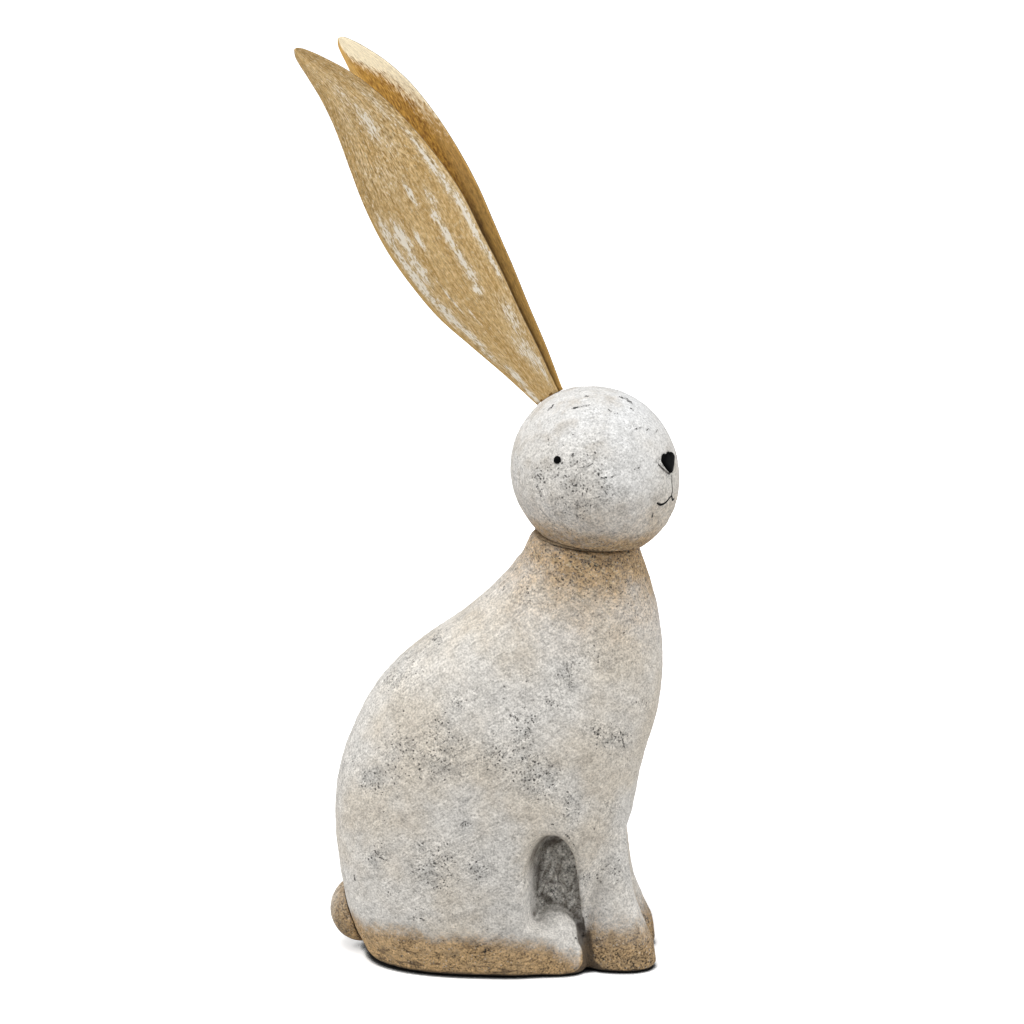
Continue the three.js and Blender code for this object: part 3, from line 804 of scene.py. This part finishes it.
def in_niche(x, y, z):
    """1 deep in the flank hollows, fading out over their sides."""
    span = ramp(NICHE_REAR - 2, NICHE_REAR + 6, x) * ramp(NICHE_FRONT + 6, NICHE_FRONT + 1, x)
    arch = ramp(NICHE_TOP + 1, NICHE_TOP - 8, z) * ramp(22, 32, z)
    depth = 0.1 * ramp(60, 54, np.abs(y)) + 0.9 * ramp(42, 31, np.abs(y))
    foot = ramp(28.5, 31, np.abs(y)) * ramp(43, 39, z)
    return span * arch * depth * (1 - foot)


def weather(mesh, surroundings, seed, clusters=(), brown=0.0, soil=0.0, warm=1.0):
    """Attributes that the casting's material reads."""
    cover, seen = sky(mesh, surroundings, seed), photo_view(mesh, surroundings)
    co = coordinates(mesh)
    place = in_body(co)
    x, y, z = place.T
    facing_up = ramp(0.2, 0.7, normals(mesh)[:, 2])
    seat = moved(co, SEAT.inverted())
    uneven = field(place, 26, 31) * 8 + field(place, 9, 32) * 4
    below = uneven - seat[:, 2]
    neck = np.interp(below, (0, 9, 19, 32, 48, 70), (1, 1, 0.75, 0.42, 0.2, 0)) * (seat[:, 2] < 4)
    neck *= ramp(74, 48, np.hypot(seat[:, 0], seat[:, 1]))
    neck *= 0.65 + 0.35 * ramp(-34, 2, seat[:, 0])
    above = seat[:, 2] + uneven * 0.4
    chin = np.maximum(0.95 * ramp(26, 4, above), 0.3 * ramp(52, 8, above))
    chin *= ramp(-1, 2, seat[:, 2])
    paws = ramp(57, 66, x) * ramp(44, 10, z)
    spread = np.interp(x, (57, 66), (9, 17))
    hollow = in_niche(x, y, z)
    groove = ramp(52, 57, x) * ramp(67, 60, x) * ramp(34, 4, z)
    # Painted shade along the listed lines, and in the groove between foot and paw where cover is high
    crevice_shade = near_lines(seen, SHADED_CREVICES) + 0.75 * groove * ramp(0.1, 0.5, cover)
    specks = specks_of(place, seen, clusters, SPECK_SEED + 2 * seed)
    attributes(
        mesh,
        # painted shade where something near keeps the light off, less on faces turned up, plus the shade of
        # the listed lines
        cover=cover * (1 - 0.7 * facing_up) * (1 - 0.5 * hollow) + crevice_shade,
        mark=near_lines(seen, [(*ends, MARK_RADIUS, 1.0) for ends in MARKS]),
        ground=np.clip((band_top(x) - z) / spread, -4, 4),
        stain=np.maximum(np.maximum(neck, chin), brown),
        speck=np.maximum(specks, 0.6 * neck),
        # painted shade deep in the flank hollows, less on faces turned up
        soot=hollow * (1 - facing_up),
        # painted contact shadow on the lowest millimetres of the casting
        touch=ramp(2.2, 1.4, z + uneven * 0.06),
        # darker on the front paws and on the tail by its crease, where it is painted shade; lighter high on
        # the rump
        soil=paws + soil,
        warm=warm,
    )


# Materials


class Finish:
    """One material's nodes, made in order."""

    def __init__(self, name):
        self.material = bpy.data.materials.new(name)
        self.material.use_nodes = True
        self.nodes = self.material.node_tree.nodes
        self.links = self.material.node_tree.links
        self.nodes.clear()

    def add(self, kind, sockets=None, **settings):
        node = self.nodes.new("ShaderNode" + kind)
        for key, value in settings.items():
            setattr(node, key, value)
        for key, value in (sockets or {}).items():
            self.put(node.inputs[key], value)
        return node

    def put(self, socket, value):
        if isinstance(value, bpy.types.NodeSocket):
            self.links.new(value, socket)
        else:
            socket.default_value = (*value, 1.0) if socket.type == "RGBA" else value

    def place(self, stretch=(1, 1, 1), turn=(0, 0, 0)):
        """Object places, drawn out along turned axes."""
        where = self.add("TexCoord").outputs["Object"]
        spin = [math.radians(a) for a in turn]
        sockets = {"Vector": where, "Scale": stretch, "Rotation": spin}
        return self.add("Mapping", sockets, vector_type="TEXTURE").outputs[0]

    def noise(self, size, detail=3, rough=0.55, place=None, twist=0):
        """Noise with lumps of about a size in metres."""
        sockets = {"Scale": 1 / size, "Detail": detail, "Roughness": rough, "Distortion": twist}
        sockets["Vector"] = place or self.place()
        return self.add("TexNoise", sockets).outputs[0]

    def dots(self, size, density, largest, place):
        """Round spots on cells of a size in metres; a denser place has more and larger ones."""
        cells = self.add("TexVoronoi", {"Vector": place, "Scale": 1 / size})
        chance = self.add("SeparateColor", {0: cells.outputs["Color"]}).outputs[0]
        radius = self.math("MINIMUM", self.times(self.minus(density, chance), 1.5), largest)
        return self.step(self.minus(cells.outputs["Distance"], radius), 0.08, -0.08)

    def warped(self, amount, size):
        """Object places pushed about, for ragged shapes."""
        where = self.add("TexCoord").outputs["Object"]
        sway = self.add("TexNoise", {"Vector": where, "Scale": 1 / size, "Detail": 2.0}).outputs["Color"]
        sockets = {0: sway, 1: (amount,) * 3, 2: where}
        return self.add("VectorMath", sockets, operation="MULTIPLY_ADD").outputs[0]

    def read(self, name):
        return self.add("Attribute", attribute_name=name).outputs["Fac"]

    def step(self, value, low, high, start=0.0, end=1.0):
        sockets = {"Value": value, "From Min": low, "From Max": high, "To Min": start, "To Max": end}
        return self.add("MapRange", sockets, interpolation_type="SMOOTHSTEP").outputs[0]

    def math(self, operation, *values):
        return self.add("Math", dict(enumerate(values)), operation=operation).outputs[0]

    def times(self, *values):
        return reduce(lambda a, b: self.math("MULTIPLY", a, b), values)

    def most(self, *values):
        return reduce(lambda a, b: self.math("MAXIMUM", a, b), values)

    def times_plus(self, a, b, c):
        return self.math("MULTIPLY_ADD", a, b, c)

    def minus(self, a, b):
        return self.math("SUBTRACT", a, b)

    def mix(self, share, a, b):
        node = self.add("Mix", data_type="RGBA", clamp_factor=True)
        for index, value in ((0, share), (6, a), (7, b)):
            self.put(node.inputs[index], value)
        return node.outputs[2]

    def swing(self, parts):
        """1 plus each noise's swing about its middle, by its share."""
        total = 1 - 0.5 * sum(share for _, share in parts)
        for value, share in parts:
            total = self.times_plus(value, share, total)
        return total

    def coat(self, tint, *shares):
        """Lays a tint over the colour so far, by the product of the shares."""
        self.colour = self.mix(self.times(*shares), self.colour, tint)

    def shade(self, level):
        sockets = {0: self.colour, "Scale": level}
        self.colour = self.add("VectorMath", sockets, operation="SCALE").outputs[0]

    def bump(self, height, distance, strength):
        sockets = {"Height": height, "Distance": distance, "Strength": strength}
        return self.add("Bump", sockets).outputs[0]

    def surface(self, **sockets):
        names = {key.replace("_", " "): value for key, value in sockets.items()}
        shader = self.add("BsdfPrincipled", names)
        self.end(shader.outputs[0])
        return self.material

    def end(self, shader):
        self.add("OutputMaterial", {"Surface": shader})


def casting_layers(f):
    """The mesh's attributes, noises of all sizes, and what they make together."""
    names = ("cover", "mark", "ground", "stain", "speck", "soot", "touch", "soil", "warm")
    s = SimpleNamespace(**{name: f.read(name) for name in names})
    s.broad = f.noise(0.055, 3, 0.5)
    s.cloud = f.noise(0.015, 4, 0.6)
    s.grit = f.noise(0.0034, 3, 0.6)
    s.sand = f.noise(0.0013, 2, 0.6)
    s.swirl = f.noise(0.006, 4, 0.65, f.place((1, 1, 2.2), (0, 20, 0)), 1.0)
    s.strokes = f.noise(0.003, 2, 0.55, f.place((4.5, 1, 1), (0, -32, 0)), 0.8)
    s.cross = f.noise(0.0032, 2, 0.55, f.place((4, 1, 1), (0, 35, 0)), 0.8)
    s.nicks = f.noise(0.0015, 2, 0.6, f.place((4.5, 1, 1), (0, -48, 0)), 0.4)
    s.fibres = f.noise(0.0015, 2, 0.5, f.place((7, 1, 1), (0, 28, 0)), 0.4)
    s.dashes = f.noise(0.003, 3, 0.6, f.place((4.5, 4.5, 1)), 0.5)
    s.rough = f.step(f.math("ADD", s.speck, f.times(s.broad, 0.6)), 0.25, 0.95, 0.6, 1.0)
    rag = f.swing([(s.cloud, 1.2), (s.grit, 1.2), (s.sand, 1.2)])
    s.band = f.step(f.math("ADD", s.ground, rag), 0.25, 1.85)
    s.dirty = f.most(s.band, f.times(s.stain, f.times_plus(rag, 0.9, 0.1)))
    return s


def lime_wash(f, s):
    """Off-white in warm and cool clouds, beige and grey in places."""
    sandy = f.mix(s.warm, (0.625, 0.617, 0.6), (0.6, 0.545, 0.465))
    chalk = f.mix(s.warm, (0.655, 0.657, 0.655), (0.635, 0.61, 0.57))
    f.colour = f.mix(f.step(s.broad, 0.36, 0.64), sandy, chalk)
    f.coat((0.5, 0.42, 0.325), f.step(s.cloud, 0.48, 0.68), f.step(s.broad, 0.6, 0.4), 0.4)
    ash = f.step(f.times_plus(s.speck, 0.2, s.cloud), 0.48, 0.78)
    f.coat((0.37, 0.365, 0.35), ash, s.rough, 0.5)


def earth_stain(f, s):
    """Brown along the ground and at the neck, with dark smudges."""
    earth = f.mix(f.step(s.cloud, 0.36, 0.64), (0.275, 0.174, 0.082), (0.5, 0.34, 0.178))
    earth = f.mix(f.times(f.step(s.ground, 0, 2.0), 0.5), earth, (0.69, 0.455, 0.21))
    f.coat(earth, s.dirty, 0.96)
    smudge = f.step(f.swing([(s.cloud, 1.4), (s.grit, 1.4), (s.sand, 1.2)]), 1.0, 1.45)
    share = f.most(f.math("POWER", s.stain, 2.0), f.times(s.band, 0.75))
    f.coat((0.13, 0.1, 0.07), smudge, share, 0.85)


def trowel_grain(f, s):
    """Painted shade in the flank hollows, left off faces turned up, then the grain and scratches of the
    trowel.
    """
    # Painted shade in the flank hollows, grey-brown in swirls
    deep = f.mix(f.step(s.swirl, 0.36, 0.64), (0.2, 0.182, 0.16), (0.62, 0.6, 0.56))
    f.coat(deep, s.soot, 0.9)
    grain = f.swing([(s.sand, 1.7), (s.grit, 0.6), (s.strokes, 0.6), (s.cross, 0.45)])
    rougher = s.rough
    for value, share in ((s.dirty, 1.3), (s.warm, 0.28), (s.soot, 0.7)):
        rougher = f.times_plus(value, share, rougher)
    level = f.times_plus(f.minus(grain, 1), rougher, 1)
    # Darker on the paws, painted shade on the tail by its crease, lighter high on the rump
    f.shade(f.times_plus(s.soil, -0.28, level))
    f.coat((0.15, 0.145, 0.14), f.step(s.nicks, 0.65, 0.71), f.step(s.speck, 0, 0.6, 0.25, 0.75))


def dark_pits(f, s):
    """Where specks, pits and nicks are nearly black."""
    ragged = f.warped(0.0028, 0.0024)
    small = f.dots(0.0023, f.times_plus(s.speck, 1.05, -0.06), 0.28, ragged)
    large = f.dots(0.0056, f.times_plus(s.speck, 0.45, -0.1), 0.2, ragged)
    lone = f.dots(0.0048, f.step(s.warm, 0.2, 1, 0.02, 0.1), 0.13, ragged)
    nick = f.step(f.times_plus(f.swing([(s.grit, 1.6), (s.sand, 1.6)]), 0.8, s.mark), 1.62, 1.78)
    return f.most(f.times(small, 0.85), f.times(large, 0.95), f.times(lone, 0.8), f.times(nick, 0.95))


def specks(f, s, dark):
    """Fine pepper, dark pits, pale flecks painted as highlights on the grain, and straw-coloured fibres."""
    dense = f.most(s.speck, f.times(f.most(s.stain, f.step(s.ground, 0, 1.5)), 0.6))
    pepper = f.dots(0.0017, f.times_plus(dense, 0.4, 0.25), 0.34, f.warped(0.0018, 0.0014))
    f.coat((0.085, 0.075, 0.062), pepper, f.step(dense, 0, 0.8, 0.2, 0.6))
    f.coat((0.03, 0.029, 0.027), dark)
    pale = f.dots(0.0021, 0.35, 0.3, f.warped(0.0012, 0.0017))
    # Pale flecks, painted highlights on the raised grain, fewer where stained
    f.coat((0.86, 0.83, 0.77), pale, f.step(s.dirty, 0, 0.5, 0.28, 0.24))
    f.coat((0.72, 0.59, 0.37), f.step(s.fibres, 0.61, 0.67), s.stain, f.step(s.ground, 0, -1), 0.5)


def crevice_shade_and_dirt(f, s):
    """Painted shade and grime where something is near, scuffs low down, and a painted contact shadow at the
    ground.
    """
    # Painted shade and grime where things near cover the skin
    shade_and_grime = f.step(f.times_plus(s.cloud, 0.4, s.cover), 0.62, 1.12)
    f.coat((0.055, 0.04, 0.027), shade_and_grime, f.step(s.stain, 0, 1, 0.85, 0.55))
    f.coat((0.085, 0.058, 0.035), f.step(s.dashes, 0.56, 0.66), f.step(s.ground, 0.6, 2.2), 0.7)
    # Painted contact shadow, near black, along the ground
    f.coat((0.006, 0.005, 0.004), s.touch, 0.97)


def casting():
    """Lime wash over a trowelled casting, stained and pitted, with painted shade in hollows and creases."""
    f = Finish("casting")
    s = casting_layers(f)
    dark = dark_pits(f, s)
    lime_wash(f, s)
    earth_stain(f, s)
    trowel_grain(f, s)
    specks(f, s, dark)
    crevice_shade_and_dirt(f, s)
    parts = [(s.strokes, 1.0), (s.cross, 0.7), (s.grit, 0.6), (s.sand, 0.2), (s.nicks, -0.4), (dark, -0.9)]
    return f.surface(Base_Color=f.colour, Roughness=0.95, Normal=f.bump(f.swing(parts), 0.0013, 0.5))


# Patterns on an ear: how fine across, along and between its sides, then detail and roughness
EAR_PATTERNS = {
    "hair": ((26, 9, 5), 3, 0.6),
    "long": ((9, 3.5, 5), 3, 0.6),
    "patch": ((20, 55, 5), 4, 0.65),
    "fleck": ((30, 75, 5), 3, 0.6),
    "chip": ((24, 66, 9), 3, 0.7),
}


def ear_layers(f):
    """Places on the leaf, how worn it is, and the patterns along it."""
    s = SimpleNamespace(**{name: f.read(name) for name in ("along", "across", "outside", "worn")})
    place = f.add("CombineXYZ", {0: s.across, 1: s.along, 2: s.outside}).outputs[0]
    for name, (scale, detail, rough) in EAR_PATTERNS.items():
        where = f.add("Mapping", {"Vector": place, "Scale": scale}).outputs[0]
        setattr(s, name, f.noise(1.0, detail, rough, where))
    return s


def ear_outside(f, s):
    """Ochre-gold paint with painted shade at the tip and along the back edge, worn to off-white: its
    colour, and where it is bare.
    """
    f.colour = f.mix(f.step(s.long, 0.35, 0.65), (0.44, 0.275, 0.095), (0.55, 0.375, 0.165))
    # Painted shade at the tip and along the back edge of the upper half
    tip_shade = f.step(f.times_plus(s.along, 4.0, s.across), 3.7, 4.1)
    left = f.times(f.step(s.across, -0.35, -0.85), f.step(s.along, 0.5, 0.65), 0.6)
    f.coat((0.34, 0.21, 0.07), f.most(tip_shade, left), 0.7)
    upper = f.step(s.along, 0.5, 0.72)
    busy = f.step(f.most(s.worn, f.times(upper, 0.75)), 0.1, 0.7, 0.7, 1.1)
    grain = f.swing([(s.hair, 1.1), (s.patch, 1.6), (s.fleck, 2.0)])
    f.shade(f.times_plus(f.minus(grain, 1), busy, 1))
    f.coat((0.25, 0.15, 0.045), f.step(s.chip, 0.46, 0.37), busy, 0.75)
    ragged = f.swing([(s.patch, 1.0), (s.fleck, 0.8), (s.hair, 0.4)])
    f.coat((0.7, 0.6, 0.42), f.step(f.times_plus(s.worn, 0.55, ragged), 1.0, 1.5), 0.6)
    bare = f.step(f.times_plus(s.worn, 0.5, ragged), 1.28, 1.38)
    f.coat((0.8, 0.74, 0.64), bare, 0.88)
    f.coat((0.76, 0.64, 0.43), f.step(s.chip, 0.54, 0.62), busy, 0.6)
    f.coat((0.5, 0.32, 0.1), f.step(s.across, -0.9, -0.97), f.step(s.along, 0.7, 0.5), 0.7)
    return f.colour, bare


def ear_inside(f, s):
    """Cream above and in front, rust behind it, and dark brown low down as painted shade in the gap between
    the ears.
    """
    f.colour = f.mix(f.step(s.patch, 0.36, 0.62), (0.26, 0.12, 0.018), (0.5, 0.275, 0.05))
    strip = f.times(f.step(s.across, 0.55, 0.85), f.step(s.along, 0.84, 0.7))
    f.coat((0.64, 0.4, 0.13), f.most(strip, f.step(s.across, -0.4, -0.8)), 0.7)
    border = f.times_plus(f.most(f.minus(s.along, 0.86), 0.0), 6.5, s.across)
    blots = f.swing([(s.long, 0.6), (s.patch, 1.1), (s.fleck, 0.9)])
    border = f.math("ADD", f.times_plus(s.along, 3.4, border), blots)
    f.coat((0.87, 0.765, 0.55), f.step(border, 4.06, 4.6), f.step(s.across, -0.75, -0.5), 0.95)
    # Painted shade low on the inner face, in the gap between the ears
    f.coat((0.075, 0.04, 0.014), f.step(s.along, 0.6, 0.42), f.step(s.across, 0.82, 0.64), 0.75)
    f.shade(f.swing([(s.hair, 0.8), (s.patch, 0.8), (s.fleck, 0.9)]))
    return f.colour


def ear_paint():
    """Paint of both sides of an ear, with a dark edge between them."""
    f = Finish("ear_paint")
    s = ear_layers(f)
    outer, bare = ear_outside(f, s)
    f.colour = f.mix(f.step(s.outside, 0.3, 0.7), ear_inside(f, s), outer)
    edge = f.step(f.math("ABSOLUTE", f.minus(s.outside, 0.5)), 0.45, 0.2)
    f.coat((0.09, 0.055, 0.025), edge, f.step(s.across, -0.5, 0.5, 0.3, 0.85), f.step(s.along, 0.02, 0.05))
    skin = f.bump(f.minus(s.hair, f.times(bare, 0.6)), 0.0004, 0.5)
    return f.surface(Base_Color=f.colour, Roughness=0.7, Specular_IOR_Level=0.25, Normal=skin)


def black_enamel():
    f = Finish("black_enamel")
    grain = f.noise(0.0015, 4)
    colour = f.mix(grain, (0.001, 0.001, 0.001), (0.004, 0.004, 0.0045))
    rough = f.step(grain, 0.3, 0.7, 0.45, 0.6)
    skin = f.bump(grain, 0.0001, 0.3)
    return f.surface(Base_Color=colour, Roughness=rough, Specular_IOR_Level=0.02, Normal=skin)


# Grey-brown for the painted shadow beside the nose
def nose_shadow_paint():
    f = Finish("nose_shadow_paint")
    grain = f.noise(0.0016, 3, 0.6)
    colour = f.mix(f.step(grain, 0.35, 0.65), (0.035, 0.03, 0.027), (0.19, 0.175, 0.16))
    return f.surface(Base_Color=colour, Roughness=0.95, Normal=f.bump(grain, 0.0003, 0.5))


def bed_mortar():
    f = Finish("bed_mortar")
    grain = f.noise(0.0025, 6, 0.7)
    colour = f.mix(f.step(grain, 0.35, 0.7), (0.14, 0.1, 0.06), (0.38, 0.28, 0.17))
    return f.surface(Base_Color=colour, Roughness=0.96, Normal=f.bump(grain, 0.0008, 0.8))


def steel():
    f = Finish("steel")
    drawn = f.noise(0.0006, 4, 0.6, f.place((1, 1, 25)))
    colour = f.mix(drawn, (0.32, 0.31, 0.3), (0.52, 0.51, 0.5))
    rough = f.step(drawn, 0.3, 0.7, 0.3, 0.5)
    return f.surface(Base_Color=colour, Metallic=1.0, Roughness=rough, Normal=f.bump(drawn, 0.0001, 0.4))


# Putting the pieces in


def show(name, mesh, material, slot, *nodes, body="figure"):
    mesh.materials.clear()
    mesh.materials.append(material)
    obj = loose_object(name, mesh)
    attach(obj, body)
    if nodes:
        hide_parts(*nodes)


def weather_castings(body, tail, head):
    """The rump is lighter high at the back, the tail browner and darker towards the body as painted shade
    in its crease, and the head cooler towards its crown.
    """
    size = (GROUND_SIZE, GROUND_SIZE, GROUND_DEPTH)
    ground = slab(size, (0, 0, -GROUND_DEPTH / 2), Matrix.Scale(MM, 4))
    near = tree_of([body, tail, head, ground])
    x, _, z = in_body(coordinates(body)).T
    lighter_rump = 0.32 * ramp(0, -50, x) * ramp(120, 70, z)
    weather(body, near, 1, BODY_SPECKS, soil=-lighter_rump)
    x, _, z = in_body(coordinates(tail)).T
    brown = 0.1 + 0.6 * ramp(-112, -102, x) + 0.3 * ramp(44, 22, z)
    weather(tail, near, 2, brown=brown, soil=0.2 + 0.6 * brown)
    z = in_body(coordinates(head))[:, 2]
    warm = np.interp(z, (285, 300, 325, 350, 372), (1.0, 0.8, 0.5, 0.3, 0.0))
    weather(head, near, 3, HEAD_SPECKS, warm=warm)


def build():
    stone, paint, enamel = casting(), ear_paint(), black_enamel()
    body, tail, head = body_mesh(), tail_mesh(), head_mesh()
    weather_castings(body, tail, head)
    show("body_casting", body, stone, "casting", "body_shell")
    show("tail_casting", tail, stone, "casting", "tail")
    show("head_casting", head, stone, "casting", "head")
    show("mortar_ring", bed_mesh(), bed_mortar(), "mortar", "neck_mortar")
    show("nose_pad", nose_mesh(), enamel, "black", "nose")
    skin = tree_of([head])
    show("mouth_line", stroke_mesh(skin, MOUTH), enamel, "black")
    # A thin line on the head, painted shadow beside the nose
    show("nose_shadow_line", stroke_mesh(skin, NOSE_SHADOW), nose_shadow_paint(), "casting")
    for side, word in ((RIGHT, "right"), (LEFT, "left")):
        show(f"{word}_eye_bead", eye_mesh(side), enamel, "black", f"{word}_eye")
        ear = f"{word}_ear"
        show(f"{ear}_leaf", ear_mesh(side), paint, "ear_sheet", ear, body=ear)
    bar = steel()
    for node in ("neck_dowel", "tail_pin"):
        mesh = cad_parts[node].data
        mesh.materials.clear()
        mesh.materials.append(bar)


# Studio


FLOOR_SIZE = 60
# How near the figure has to be to darken the floor
CONTACT_REACH = 0.007
WORLD_LIGHT = 0.4
LAMP_TARGET = Vector((0.02, -0.02, 0.28))
LAMP_SIZE = 1.6
# Each lamp's place in metres, and its power in watts
LAMPS = {
    "top": ((-0.4, -0.9, 2.6), 50),
    "left": ((-2.4, -0.6, 1.3), 24),
    "right": ((2.4, -0.6, 1.2), 31),
}


def floor_finish():
    """White to the camera, and darker only where the figure keeps the light off."""
    f = Finish("floor")
    path = f.add("LightPath")
    seen = f.most(path.outputs["Is Camera Ray"], path.outputs["Is Glossy Ray"])
    matt = f.add("BsdfDiffuse", {"Color": (0.5, 0.5, 0.5)}).outputs[0]
    open_sky = f.add("AmbientOcclusion", {"Distance": CONTACT_REACH}, samples=8).outputs["AO"]
    clear = f.step(open_sky, 0.42, 0.75)
    shade = f.mix(clear, (0.03, 0.03, 0.03), (0.85, 0.85, 0.85))
    pale = f.add("BsdfDiffuse", {"Color": shade}).outputs[0]
    away = f.add("VectorMath", {0: f.place()}, operation="LENGTH").outputs["Value"]
    strength = f.times(f.step(away, 0.15, 1.2, 0.5, 1.0), clear)
    glow = f.add("Emission", {"Color": (1, 1, 1), "Strength": strength}).outputs[0]
    lit = f.add("AddShader", {0: pale, 1: glow}).outputs[0]
    f.end(f.add("MixShader", {0: seen, 1: matt, 2: lit}).outputs[0])
    return f.material


def studio():
    bpy.ops.mesh.primitive_plane_add(size=FLOOR_SIZE)
    floor = bpy.context.object
    floor.name = "floor"
    floor.data.materials.append(floor_finish())
    world = bpy.data.worlds.new("studio")
    world.use_nodes = True
    world.node_tree.nodes["Background"].inputs[0].default_value = (1, 1, 1, 1)
    world.node_tree.nodes["Background"].inputs[1].default_value = WORLD_LIGHT
    bpy.context.scene.world = world
    for name, (spot, power) in LAMPS.items():
        data = bpy.data.lights.new(name, "AREA")
        data.size = LAMP_SIZE
        data.energy = power
        lamp = loose_object(name, data)
        lamp.location = spot
        lamp.rotation_euler = (LAMP_TARGET - Vector(spot)).to_track_quat("-Z", "Y").to_euler()


def camera():
    data = bpy.data.cameras.new("camera")
    data.sensor_width = CAMERA_SENSOR
    data.lens = CAMERA_LENS
    data.clip_end = 200
    obj = loose_object("camera", data)
    obj.location = CAMERA_PLACE
    obj.rotation_euler = (CAMERA_TARGET - CAMERA_PLACE).to_track_quat("-Z", "Y").to_euler()
    bpy.context.scene.camera = obj


build()
studio()
camera()
bpy.context.scene.view_settings.view_transform = "Standard"
